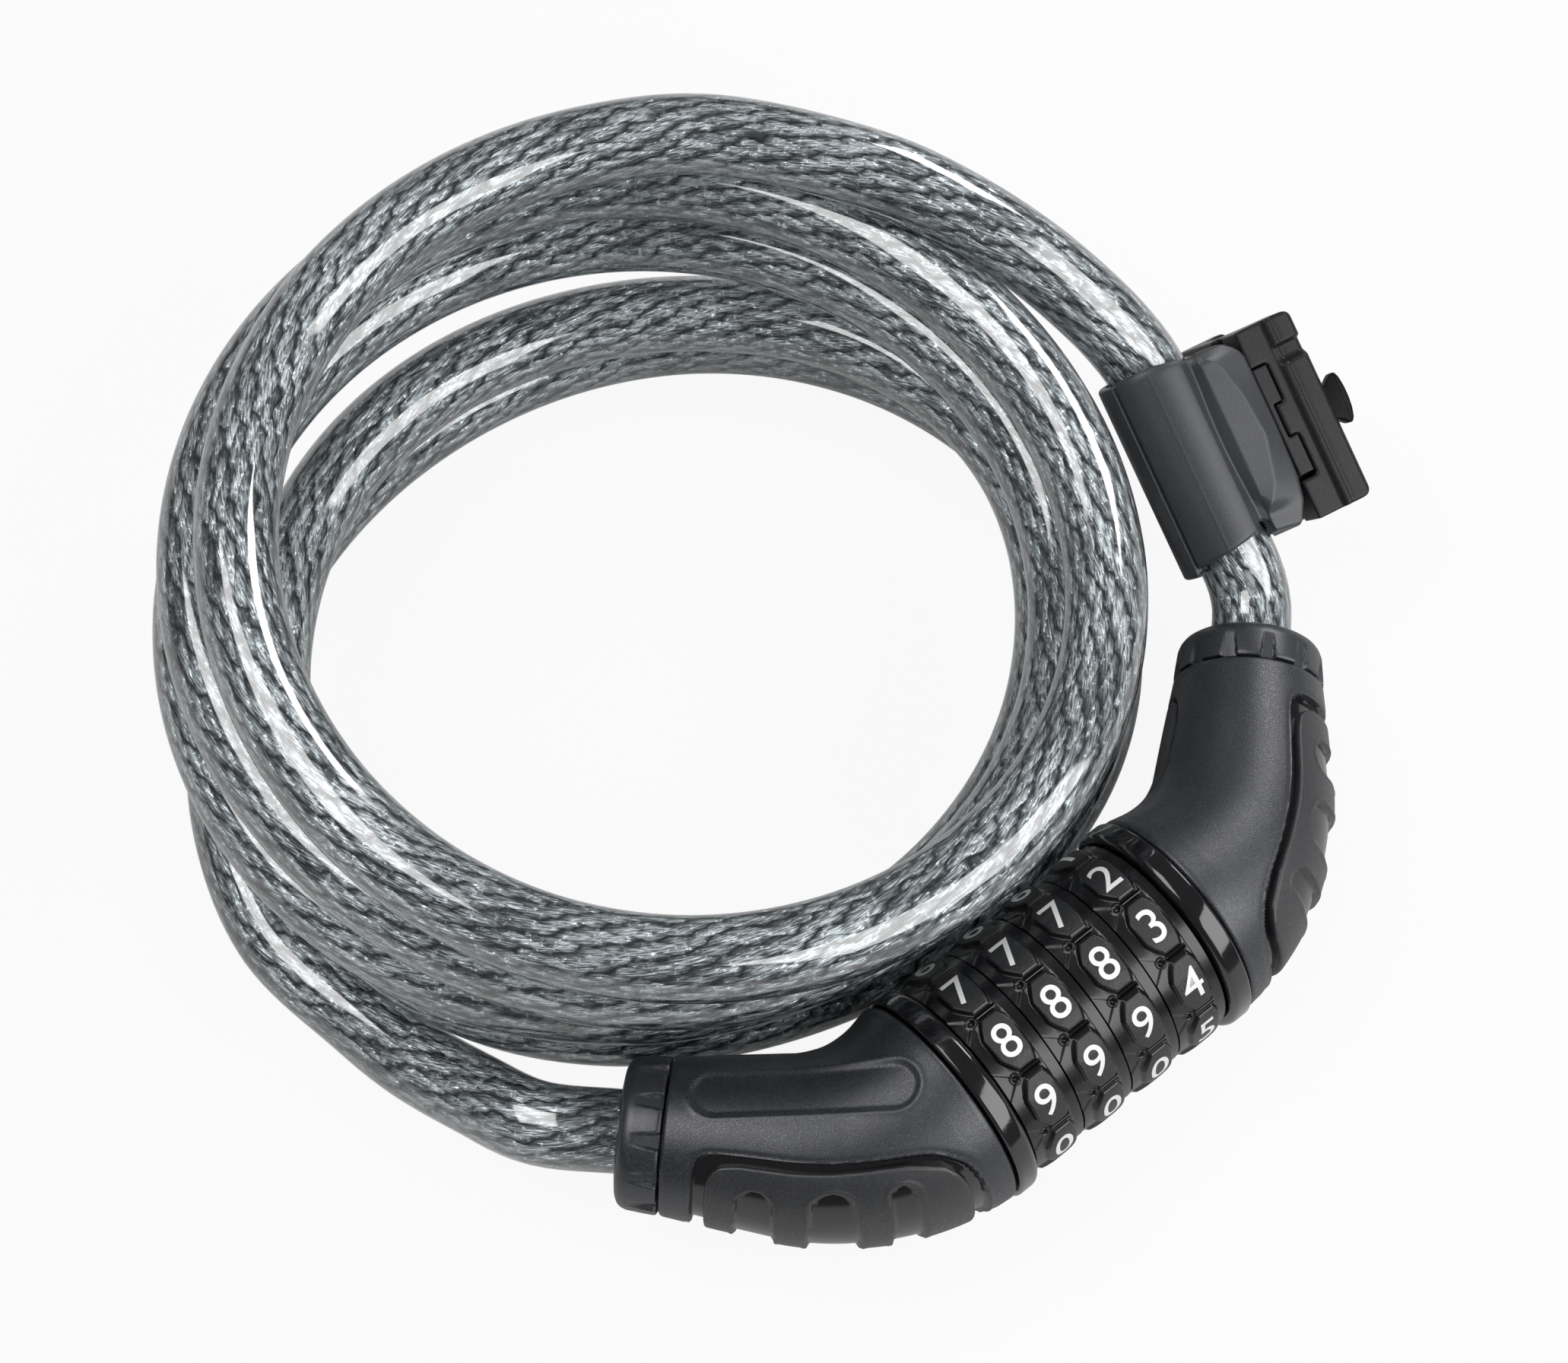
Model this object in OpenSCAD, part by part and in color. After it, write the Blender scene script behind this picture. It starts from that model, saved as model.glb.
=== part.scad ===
// Coiled cable lock: a four-dial barrel between two elbow housings, a 12 mm
// sheathed steel cable wound in a pile, and a tube bracket that holds the cable.
// Millimetres. X runs along the barrel, Z is up, the coil lies on the +Y side.

/* [Cable] */
// Outer diameter of the sheathed cable
cable_d = 12; // [11:0.25:12]
// Radius of a loop at the middle of the cable
coil_r = 63.5; // [62.5:0.25:64.5]
// Height from one layer of the pile to the next
layer_pitch = 12.8; // [12.8:0.1:13.2]

/* [Barrel] */
// Radius of the two end rings, which the lock lies on
ring_r = 17.25; // [17:0.05:17.6]
// Radius over the raised digit faces of a dial
dial_r = 16.6; // [16.2:0.1:16.8]
// Distance from one dial to the next
dial_pitch = 9; // [8.8:0.05:9.2]
// Width of an end ring
ring_w = 3.6; // [3.2:0.1:4]
// Gap between turning or parting faces
face_gap = 0.3; // [0.2:0.05:0.4]
// Height of a digit face above the body of the dial
pillow_h = 0.7; // [0.5:0.1:0.9]

/* [Shaft] */
// Radius of the locking shaft
shaft_r = 3.5; // [3.3:0.1:3.7]
// Wall of the slotted barrel tube
tube_wall = 1.2; // [1:0.1:1.4]
// Running clearance between turning or sliding fits, on the radius
run_clear = 0.08; // [0.05:0.01:0.1]
// Width of a locking lug
lug_w = 2; // [1.6:0.1:2.2]

/* [Housings] */
// Radius of a housing at the barrel
housing_r = 16.9; // [16.6:0.1:17.1]
// Radius of a housing at its collar
neck_r = 11.2; // [10.8:0.1:11.6]
// Depth of a grip pad in its housing
pad_depth = 1.3; // [1.1:0.1:1.5]
// Width of the groove round a grip pad
pad_groove = 1.3; // [1:0.1:1.6]
// Depth of the finger scoops in the outer pads
scoop_depth = 0.7; // [0.4:0.1:0.9]
// Length of the collar nut at the cable's entry
collar_len = 6.2; // [5.6:0.2:6.8]

/* [Bracket] */
// Length of the sleeve that clips round the cable
sleeve_len = 32; // [30:0.5:33]
// Wall of the sleeve
sleeve_wall = 1.8; // [1.6:0.1:2]
// Radius of the bicycle tube that the saddle fits
tube_r = 12.5; // [12:0.25:13]
// Height of the bracket's base
base_h = 29; // [28:0.5:29]

/* [Hidden] */

cr = cable_d / 2;
barrel_y = -7.7;
axis_z = ring_r;
stack = 2 * dial_pitch;              // half length of the four dials
ring_x = stack + face_gap;           // inner face of an end ring
house_x = ring_x + ring_w;           // outer face of an end ring
face_x = house_x + face_gap;         // big end of a housing
bend = 45;
bend_r = 28.5;
lead_in = 1.2;                       // straight part before the bend
neck_len = 23.6;                     // straight part after it, collar and all
elbow_len = lead_in + bend_r * bend * PI / 180 + neck_len;
shell_len = elbow_len - collar_len - 0.3;
tube_or = shaft_r + run_clear + tube_wall;
wheel_r = 9.6;
dial_hole = wheel_r;
body_r = dial_r - pillow_h;
step = 36;                           // degrees from one digit to the next
phase = 9;                           // the showing digit leans this far from the top
face_a = 31;                         // how wide a raised digit face is, in degrees
lug_top = tube_or + 1.4;
code_turn = 180 + phase;             // the slot lies under the showing digits
ferrule_r = cr + 1.3;
ferrule_len = 13;
shaft_end = 17;

// the elbow's middle line: place and heading at a length s along it (sg = -1 plug, 1 socket)
function arc_s(s) = min(max(s - lead_in, 0), bend_r * bend * PI / 180);
function turn(s) = arc_s(s) / bend_r * 180 / PI;
function tail(s) = max(s - lead_in - bend_r * bend * PI / 180, 0);
function mid(s, sg) = [sg * (face_x + min(s, lead_in) + bend_r * sin(turn(s)) + tail(s) * cos(bend)),
  barrel_y + bend_r * (1 - cos(turn(s))) + tail(s) * sin(bend), axis_z];
function outward(s, sg) = [sg * sin(turn(s)), -cos(turn(s)), 0];
function shell_r(s) = lookup(s, [[0, housing_r], [4, housing_r - 0.5], [10, housing_r - 1.5],
  [16, housing_r - 2.5], [24, housing_r - 3.5], [32, housing_r - 4.5],
  [shell_len, neck_r], [elbow_len + 9, neck_r - 1]]);
function skin(s, a, sg, off = 0) = mid(s, sg) + (shell_r(s) + off)
  * (cos(a) * outward(s, sg) + sin(a) * [0, 0, 1]);

// closed skin over rings of points, all rings with the same count
module skinned(rings, flip = false) {
  n = len(rings[0]); m = len(rings);
  pts = [for (r = rings) each r];
  tri = concat(
    [for (i = [0:m - 2]) for (k = [0:n - 1]) [i * n + k, i * n + (k + 1) % n, (i + 1) * n + k]],
    [for (i = [0:m - 2]) for (k = [0:n - 1])
      [i * n + (k + 1) % n, (i + 1) * n + (k + 1) % n, (i + 1) * n + k]],
    [[for (k = [n - 1:-1:0]) k], [for (k = [0:n - 1]) (m - 1) * n + k]]);
  polyhedron(flip ? [for (p = pts) p] : pts,
    flip ? [for (f = tri) [for (j = [len(f) - 1:-1:0]) f[j]]] : tri, convexity = 6);
}
// half angles of the pockets that the grip pads sit in, along the shell
out_0 = 4.8 - pad_groove;
out_1 = 34.2 + pad_groove;
in_0 = 17;
in_1 = 36.5;
function out_w(s) = lookup(s, [[out_0, 34], [6, 52], [9, 59], [16, 63.5], [24, 64.5], [31, 64],
  [33.6, 60], [out_1, 46]]);
function in_w(s) = lookup(s, [[in_0, 16], [19, 24], [25, 28], [31, 30], [34.5, 26], [in_1, 16]]);
// angles round the shell: outer pocket, one side, inner pocket, other side
function round_angles(s) = let (w = out_w(s), v = in_w(s), e = 1.5) concat(
  [for (k = [0:10]) -w + 2 * w * k / 10],
  [for (k = [0:8]) w + e + (180 - v - w - 2 * e) * k / 8],
  [for (k = [0:4]) 180 - v + 2 * v * k / 4],
  [for (k = [0:8]) 180 + v + e + (180 - v - w - 2 * e) * k / 8]);
function sunk(s, k) = k < 11 ? (s > out_0 && s < out_1 ? -pad_depth : 0)
  : k > 19 && k < 25 ? (s > in_0 && s < in_1 ? -pad_depth : 0) : 0;
shell_s = [0, 0.8, out_0 - 0.2, out_0 + 0.2, 6, 9, 12.5, in_0 - 0.2, in_0 + 0.2, 20, 24, 28, 31,
  33.6, out_1 - 0.2, out_1 + 0.2, in_1 - 0.2, in_1 + 0.2, shell_len - 1.2, shell_len];
function soften(s) = s < 0.4 ? -0.5 : s > shell_len - 0.4 ? -0.35 : 0;
module shell(sg) {
  skinned([for (s = shell_s) let (a = round_angles(s))
    [for (k = [0:33]) skin(s, a[k], sg, soften(s) + sunk(s, k))]], sg < 0);
}
// a patch of the shell's surface between stations, half as wide as the angle that wide(s) gives
module patch(sg, ss, wide, mid_a, low, high) {
  n = 12;
  skinned([for (j = [0:len(ss) - 1])
    concat([for (k = [0:n]) skin(ss[j], mid_a - wide[j] + 2 * wide[j] * k / n, sg, high[j])],
      [for (k = [n:-1:0]) skin(ss[j], mid_a - wide[j] + 2 * wide[j] * k / n, sg, low)])],
    sg < 0);
}
// outer pad: stations, half angles, and the scoops at its three finger places
pad_s = [4.8, 5.4, 6.4, 8, 9.4, 10, 12.2, 12.8, 15.6, 16.2, 20.2, 20.8, 24.2, 24.8, 29.4, 30,
  32.4, 33.6, 34.2];
pad_a = [30, 40, 47, 51, 54, 55, 57, 57, 58, 58, 58.5, 58.5, 58.5, 58.5, 58.5, 58, 56, 50, 42];
pad_scoop = [0, 0, 0, 0, 0, 1, 1, 0, 0, 1, 1, 0, 0, 1, 1, 0, 0, 0, 0];
module outer_pad(sg) {
  n = 12;
  // each scoop reaches 40 degrees up and down from the outside of the bend
  skinned([for (j = [0:len(pad_s) - 1])
    concat([for (k = [0:n]) let (a = -pad_a[j] + 2 * pad_a[j] * k / n)
        skin(pad_s[j], a, sg, abs(a) < 46 ? -pad_scoop[j] * scoop_depth : 0)],
      [for (k = [n:-1:0]) skin(pad_s[j], -pad_a[j] + 2 * pad_a[j] * k / n, sg, -pad_depth)])],
    sg < 0);
}
in_s = [17.5, 19, 25, 31, 34.5, 36];
in_a = [14, 22, 26, 28, 24, 14];
module inner_pad(sg) {
  patch(sg, in_s, in_a, 180, -pad_depth, [0, 0.15, 0.15, 0.15, 0.15, 0]);
}
// puts children at the elbow's end with Z along the neck, pointing out
module at_neck(sg, s) {
  translate(mid(s, sg)) rotate([0, 0, sg > 0 ? bend : 180 - bend]) rotate([0, 90, 0]) children();
}
// puts children on the barrel's axis with Z along +X, at x
module on_axis(x) { translate([x, barrel_y, axis_z]) rotate([0, 90, 0]) children(); }

module neck_cuts(sg) {
  at_neck(sg, elbow_len - collar_len - ferrule_len)
    cylinder(r = ferrule_r, h = ferrule_len + 9, $fn = 48);
}
module socket_housing() {
  color("#3c3d40") difference() {
    shell(1);
    neck_cuts(1);
    on_axis(house_x - 1) cylinder(r = tube_or, h = 9, $fn = 48);
  }
}
module plug_housing() {
  color("#3c3d40") difference() {
    shell(-1);
    neck_cuts(-1);
    on_axis(-house_x - 12) cylinder(r = shaft_r, h = 14, $fn = 48);
  }
}
module collar(sg) {
  color("#303134") at_neck(sg, elbow_len - collar_len) difference() {
    rotate_extrude($fn = 64) polygon([[cr + 0.05, 0], [neck_r - 0.2, 0], [neck_r, 0.5],
      [neck_r - 0.3, collar_len - 2], [neck_r - 0.9, collar_len - 0.7],
      [neck_r - 1.9, collar_len], [cr + 0.7, collar_len], [cr + 0.05, collar_len - 0.6]]);
    for (k = [0:11]) rotate([0, 0, 8 + 30 * k]) rotate([90, 0, 0])
      linear_extrude(height = 1.7, center = true)
        polygon([[neck_r - 0.9, -1], [neck_r + 2, -1], [neck_r + 2, 5], [neck_r - 0.2, 5]]);
  }
}
module socket_collar() { collar(1); }
module plug_collar() { collar(-1); }
module socket_outer_grip() { color("#2d2e31") outer_pad(1); }
module plug_outer_grip() { color("#2d2e31") outer_pad(-1); }
module socket_inner_grip() { color("#2d2e31") inner_pad(1); }
module plug_inner_grip() { color("#2d2e31") inner_pad(-1); }
module ring_body(x, s) {
  on_axis(x) rotate_extrude($fn = 96) polygon(s > 0 ?
    [[tube_or, 0], [ring_r - 1.2, 0], [ring_r - 0.3, 0.5], [ring_r, 1.3], [ring_r, ring_w - 0.5],
      [ring_r - 0.5, ring_w], [tube_or, ring_w]] :
    [[tube_or, 0], [ring_r - 0.5, 0], [ring_r, 0.5], [ring_r, ring_w - 1.3],
      [ring_r - 0.3, ring_w - 0.5], [ring_r - 1.2, ring_w], [tube_or, ring_w]]);
}
module socket_ring() {
  color("#101113") difference() {
    ring_body(ring_x, 1);
    // small index dimple on the ring's rim, towards the outer side
    translate([ring_x + 0.9, barrel_y, axis_z]) rotate([62, 0, 0])
      translate([0, 0, ring_r - 0.9]) cylinder(r = 0.6, h = 3, $fn = 24);
  }
}
module plug_side_ring() {
  color("#101113") difference() {
    ring_body(-ring_x - ring_w, -1);
    // the lugs pass through here when the plug is drawn
    translate([-house_x - 1, barrel_y, axis_z]) rotate([code_turn, 0, 0])
      translate([0, -(lug_w + 0.6) / 2, 0]) cube([ring_w + 3, lug_w + 0.6, lug_top + 0.3]);
  }
}
module barrel_tube() {
  color("#b5b7ba") difference() {
    on_axis(-ring_x - ring_w + 0.4) cylinder(r = tube_or, h = 2 * house_x + 7, $fn = 64);
    on_axis(-house_x - 1) cylinder(r = shaft_r + run_clear, h = house_x + shaft_end + 2, $fn = 64);
    // the slot that the lugs pass along
    translate([-house_x - 1, barrel_y, axis_z]) rotate([code_turn, 0, 0])
      translate([0, -(lug_w + 0.4) / 2, 0]) cube([house_x + stack, lug_w + 0.4, tube_or + 1]);
  }
}
function dial_x(i) = (i - 2.5) * dial_pitch;
dial_w = dial_pitch - face_gap;
module dial(i) {
  x = dial_x(i) - dial_w / 2;
  color("#17181a") difference() {
    union() {
      on_axis(x) rotate_extrude($fn = 80) polygon([[dial_hole, 0], [body_r - 1.6, 0],
        [body_r - 0.5, 1], [body_r, 1.9], [body_r, dial_w - 1.4], [body_r - 0.5, dial_w - 0.6],
        [body_r - 1.1, dial_w], [dial_hole, dial_w]]);
      for (k = [0:9]) on_axis(x) rotate([0, 0, 180 + phase - face_a / 2 + step * k])
        rotate_extrude(angle = face_a, $fn = 80) polygon([[body_r - 1, 1.5], [dial_r - 0.3, 1.5],
          [dial_r, 2.1], [dial_r, dial_w - 1.6], [dial_r - 0.4, dial_w - 0.9],
          [body_r - 1, dial_w - 0.9]]);
    }
    // a round dimple at the root of each notch between two digit faces
    for (k = [0:9]) translate([x + 2.1, barrel_y, axis_z]) rotate([phase + step * (k + 0.5), 0, 0])
      translate([0, 0, body_r - 0.5]) cylinder(r = 0.65, h = 3, $fn = 16);
  }
}
module dial_1() { dial(1); }
module dial_2() { dial(2); }
module dial_3() { dial(3); }
module dial_4() { dial(4); }
// code wheel: a thin flange with the notch, and behind it the room the lug turns in
flange = 2;
module code_wheel(i) {
  x = dial_x(i) - dial_w / 2;
  color("#c9a24b") difference() {
    on_axis(x) rotate_extrude($fn = 64) polygon([[tube_or + run_clear, 0], [wheel_r, 0],
      [wheel_r, dial_w], [lug_top + 0.3, dial_w], [lug_top + 0.3, flange],
      [tube_or + run_clear, flange]]);
    translate([x - 1, barrel_y, axis_z]) rotate([code_turn, 0, 0])
      translate([0, -(lug_w + 0.6) / 2, 0]) cube([flange + 2, lug_w + 0.6, lug_top + 0.3]);
  }
}
module code_wheel_1() { code_wheel(1); }
module code_wheel_2() { code_wheel(2); }
module code_wheel_3() { code_wheel(3); }
module code_wheel_4() { code_wheel(4); }
module wave_washer() {
  color("#9a9ca0") on_axis(stack - face_gap / 2 + 0.02) difference() {
    cylinder(r = wheel_r, h = face_gap * 1.5 - 0.02, $fn = 48);
    translate([0, 0, -1]) cylinder(r = tube_or, h = 3, $fn = 48);
  }
}
module locking_shaft() {
  color("#c4c6c9") union() {
    on_axis(-house_x - 12) cylinder(r = shaft_r, h = house_x + 12 + shaft_end - 1, $fn = 64);
    on_axis(shaft_end - 1) cylinder(r1 = shaft_r, r2 = shaft_r - 1.2, h = 1, $fn = 64);
    for (i = [1:4]) translate([dial_x(i) - dial_w / 2 + flange + 0.6, barrel_y, axis_z])
      rotate([code_turn, 0, 0]) translate([0, -lug_w / 2, shaft_r - 1])
        cube([2, lug_w, lug_top - shaft_r + 1]);
  }
}
module ferrule(sg) {
  color("#a9abae") at_neck(sg, elbow_len - collar_len - ferrule_len) difference() {
    cylinder(r = ferrule_r, h = ferrule_len, $fn = 48);
    translate([0, 0, 2]) cylinder(r = cr, h = ferrule_len, $fn = 48);
  }
}
// the cable's own end inside the plug, up to the mouth
module plug_cable_end() {
  color("#77797c") at_neck(-1, elbow_len - collar_len - ferrule_len + 2)
    cylinder(r = cr, h = collar_len + ferrule_len - 2, $fn = 48);
}
module socket_ferrule() { ferrule(1); }
module plug_ferrule() { ferrule(-1); }

// ---- the cable -------------------------------------------------------------
// middles of the loops, one per quarter turn, from the top loop's start
loop_mid = [[-1.7, 70.5], [-2.2, 74], [-7.7, 73.5], [-9.3, 71], [-8.3, 76.5], [-7.8, 79],
  [-9.8, 76], [-10.8, 76], [-10.3, 76.5], [-11.3, 78.5], [-12.5, 81], [-11, 77.5],
  [-8.3, 66], [-3.5, 72.5], [-11.3, 81.5], [-3.5, 73], [-8.3, 70.3], [-17.8, 68], [-13.3, 63]];
coil_a0 = 51;
coil_turns = 4.35;
coil_rings = 24;
drop_from = 0.31;                    // share of a turn where the next layer starts to drop
drop_to = 0.75;
function smooth(t) = let (c = min(max(t, 0), 1)) c * c * (3 - 2 * c);
function layer_z(v) = let (f = v - floor(v + 1e-6))
  cr + layer_pitch * max(4 - floor(v + 1e-6) - smooth((f - drop_from) / (drop_to - drop_from)), 0);
function knot(k, i) = i < 0 ? 2 * k[0] - k[1] : i > len(k) - 1
  ? 2 * k[len(k) - 1] - k[len(k) - 2] : k[i];
function blend(k, t) = let (i = min(floor(t + 1e-6), len(k) - 2), s = t - i, a = knot(k, i - 1),
  b = knot(k, i), c = knot(k, i + 1), d = knot(k, i + 2))
  0.5 * (2 * b + (c - a) * s + (2 * a - 5 * b + 4 * c - d) * s * s
    + (3 * b - a - 3 * c + d) * s * s * s);
function coil_point(v) = let (m = blend(loop_mid, v * 4), a = coil_a0 + 360 * v)
  [m[0] + coil_r * cos(a), m[1] + coil_r * sin(a), layer_z(v)];
coil_path = [for (j = [0:coil_rings * coil_turns + 0.5]) coil_point(j / coil_rings)];
mouth_s = mid(elbow_len, 1);
mouth_p = mid(elbow_len, -1);
neck_dir = [cos(bend), sin(bend), 0];
// from the socket's mouth through the bracket's sleeve and up to the top loop
up_knots = [mouth_s + 3 * neck_dir, [65, 22.3, 17.8], [66.7, 25.4, 19], [67.6, 29, 21],
  [69.8, 43.2, 28.2], [72, 57.4, 35.3], [71.4, 63.5, 38.6], [69.4, 70.5, 42.6],
  [66.2, 79, 47], [61, 89.5, 51.6], [54.3, 100.4, 55], coil_path[0]];
// from the bottom loop's end to the plug's mouth
down_knots = [coil_path[len(coil_path) - 1], [-77.8, 58.6, 6.8], [-75.9, 47.7, 9], [-72.6, 36.6, 12.6],
  mouth_p + 12 * [-neck_dir[0], neck_dir[1], 0]];
function along(k, n) = [for (i = [0:len(k) - 2]) for (j = [0:n - 1]) blend(k, i + j / n)];
inside = ferrule_len + collar_len - 2;
up_path = concat([mouth_s - inside * neck_dir, mouth_s], along(up_knots, 2), [coil_path[0]]);
down_path = concat(along(down_knots, 3), [mouth_p + 12 * [-neck_dir[0], neck_dir[1], 0], mouth_p]);
function unit(v) = v / norm(v);
function heading(p, i) = unit(p[min(i + 1, len(p) - 1)] - p[max(i - 1, 0)]);
function ring_at(c, t, n, r, a0) = let (side = unit(cross([0, 0, 1], t)), up = cross(t, side))
  [for (k = [0:n - 1]) c + r * (cos(a0 + k * 360 / n) * side + sin(a0 + k * 360 / n) * up)];
// t0 and t1, where given, are the headings of the two end faces
module swept(p, n, t0 = undef, t1 = undef) {
  m = len(p);
  skinned([for (i = [0:m - 1]) ring_at(p[i], i == 0 && !is_undef(t0) ? t0
    : i == m - 1 && !is_undef(t1) ? t1 : heading(p, i), n, cr, 180 / n)], true);
}
start_dir = unit(coil_path[1] - coil_path[0]);
end_dir = unit(coil_path[len(coil_path) - 1] - coil_path[len(coil_path) - 2]);
module coil() { color("#77797c") swept(coil_path, 6, start_dir, end_dir); }
module socket_lead() { color("#77797c") swept(up_path, 10, neck_dir, start_dir); }
module plug_lead() { color("#77797c") swept(down_path, 10, end_dir, [neck_dir[0], -neck_dir[1], 0]); }
// least distance between one loop and the next, measured on the points of the route
near = [for (i = [0:len(coil_path) - 1]) for (j = [i + 12:min(i + 40, len(coil_path) - 1)])
  if (j < len(coil_path)) norm(coil_path[i] - coil_path[j])];
echo(least_coil_gap = min(near) - cable_d);  // coil

// ---- the bracket ------------------------------------------------------------
// local frame: Y along the sleeve, X towards the bicycle tube, Z up
clip_mid = [69.8, 43.2, 28.2];
bore_r = cr + 0.9;
sleeve_r = bore_r + sleeve_wall - 0.6;
half = sleeve_len / 2;
base_x0 = 12.6;
base_x1 = 21.4;
base_top = 6.5;
base_half = half - 1;
slide_gap = 0.15;
saddle_a = 56;                       // half the angle that the saddle wraps
saddle_pad_t = 1;
saddle_x = base_x1 + tube_r * cos(saddle_a);
saddle_z = base_top - base_h / 2 - 1.5;
module at_bracket() { translate(clip_mid) rotate([0, 0, -10.4]) rotate([26.3, 0, 0]) children(); }
// stands a flat outline, drawn as [across, up], along the sleeve between two ends
module along_sleeve(y0, y1) {
  translate([0, y1, 0]) rotate([90, 0, 0]) linear_extrude(height = y1 - y0) children();
}
module rail(g) {
  polygon([[base_x0 - 1, -4.2 - g], [base_x0, -4.2 - g], [base_x0 + 1.3 + g, -5 - g],
    [base_x0 + 1.3 + g, 0.6 + g], [base_x0, -0.2 + g], [base_x0 - 1, -0.2 + g]]);
}
module bracket_clip() {
  color("#46474b") at_bracket() difference() {
    union() {
      along_sleeve(-half, half) circle(r = sleeve_r, $fn = 64);
      // web to the flange: a valley, a long low ridge, and the flange's rounded shoulder
      along_sleeve(-half + 1.2, half - 1.2) polygon([[0, -6], [5.2, -6.4], [7, -8.4], [base_x0, -9.6],
        [base_x0, 5.6], [base_x0 - 0.5, base_top + 0.2], [base_x0 - 2.2, base_top + 0.8],
        [7.6, base_top + 0.9], [6, 5.6], [5.3, 5.4], [4.6, 6.2], [3, 7.4], [0, 7.6]]);
      along_sleeve(-base_half + 2, base_half - 2) rail(0);
    }
    along_sleeve(-half - 1, half + 1) circle(r = bore_r, $fn = 64);
    // the slit that lets the sleeve open round the cable
    along_sleeve(-half - 1, half + 1) rotate([0, 0, 138]) translate([0, -0.4]) square([12, 0.8]);
  }
}
module bracket_liner() {
  color("#1c1c1e") at_bracket() difference() {
    along_sleeve(-half + 0.8, half - 0.8) circle(r = bore_r, $fn = 48);
    along_sleeve(-half - 1, half + 1) circle(r = cr + 0.1, $fn = 48);
    along_sleeve(-half - 1, half + 1) rotate([0, 0, 138]) translate([0, -0.8]) square([12, 1.6]);
  }
}
// outline of the latch's top from above, with its two teeth; g grows it
module latch_outline(g) {
  polygon([[base_x0 - 0.1, -8.75 - g], [base_x0 + 2.65 + g, -8.75 - g],
    [base_x0 + 2.65 + g, -2.8 + g], [base_x0 + 1.1 + g, -2.8 + g], [base_x0 + 1.1 + g, 2.8 - g],
    [base_x0 + 2.65 + g, 2.8 - g], [base_x0 + 2.65 + g, 8.75 + g], [base_x0 - 0.1, 8.75 + g]]);
}
latch_t = 1.5;
latch_travel = 1;
module bracket_base() {
  color("#3b3c40") at_bracket() difference() {
    along_sleeve(-base_half, base_half) polygon([[base_x0 + 0.1, base_top - base_h + 1.5],
      [base_x0 + 1.6, base_top - base_h], [base_x1, base_top - base_h], [base_x1, base_top - 0.4],
      [base_x1 - 0.6, base_top + 0.2], [base_x1 - 2.6, base_top + 0.2],
      [base_x1 - 3.4, base_top - 0.4], [base_x0 + 0.1, base_top - 0.4]]);
    along_sleeve(-20, 20) translate([saddle_x, saddle_z]) circle(r = tube_r + saddle_pad_t, $fn = 96);
    along_sleeve(-20, 20) rail(slide_gap);
    // pocket of the latch
    translate([0, 0, base_top - 0.4 - latch_t - latch_travel - 0.2]) linear_extrude(height = 5)
      latch_outline(0.25);
    // slot for a strap's end through the lower flange
    translate([base_x1 - 3.2, -6, base_top - base_h - 1]) cube([1.8, 12, 8]);
  }
}
module bracket_latch() {
  color("#46474b") at_bracket() translate([0, 0, base_top - 0.4 - latch_t])
    linear_extrude(height = latch_t) intersection() {
      latch_outline(0);
      translate([base_x0 + 0.15, -10]) square([9, 20]);
    }
}
module saddle_pad() {
  color("#1c1c1e") at_bracket() intersection() {
    along_sleeve(-base_half + 0.5, base_half - 0.5) difference() {
      translate([saddle_x, saddle_z]) circle(r = tube_r + saddle_pad_t, $fn = 96);
      translate([saddle_x, saddle_z]) circle(r = tube_r, $fn = 96);
    }
    translate([0, -20, -40]) cube([base_x1, 40, 80]);
  }
}
// T-shaped hook for the strap, on the base's outer edge
module strap_hook() {
  color("#121213") at_bracket() translate([base_x1, 0, base_top - 2.9]) linear_extrude(height = 2.5)
    polygon([[0, -2.9], [0.5, -2.9], [1.6, -3.5], [2.6, -4.4], [3.2, -4.4], [3.6, -3.8], [3.8, 0],
      [3.6, 3.8], [3.2, 4.4], [2.6, 4.4], [1.6, 3.5], [0.5, 2.9], [0, 2.9]]);
}

socket_housing();
socket_collar();
socket_outer_grip();
socket_inner_grip();
socket_ring();
plug_side_ring();
barrel_tube();
dial_1();
dial_2();
dial_3();
dial_4();
code_wheel_1();
code_wheel_2();
code_wheel_3();
code_wheel_4();
wave_washer();
socket_ferrule();
plug_housing();
plug_collar();
plug_outer_grip();
plug_inner_grip();
locking_shaft();
plug_ferrule();
plug_cable_end();
coil();
socket_lead();
plug_lead();
bracket_clip();
bracket_liner();
bracket_base();
bracket_latch();
saddle_pad();
strap_hook();
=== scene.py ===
# %% [markdown]
# A coiled cable lock: a clear-sheathed steel cable wound in a pile, a four-dial
# barrel between two elbow housings, and a bracket that clips to the cable.
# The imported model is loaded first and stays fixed. Every finished piece is made
# round it, in metres and in the same place, so nothing needs to be fitted.

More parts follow.
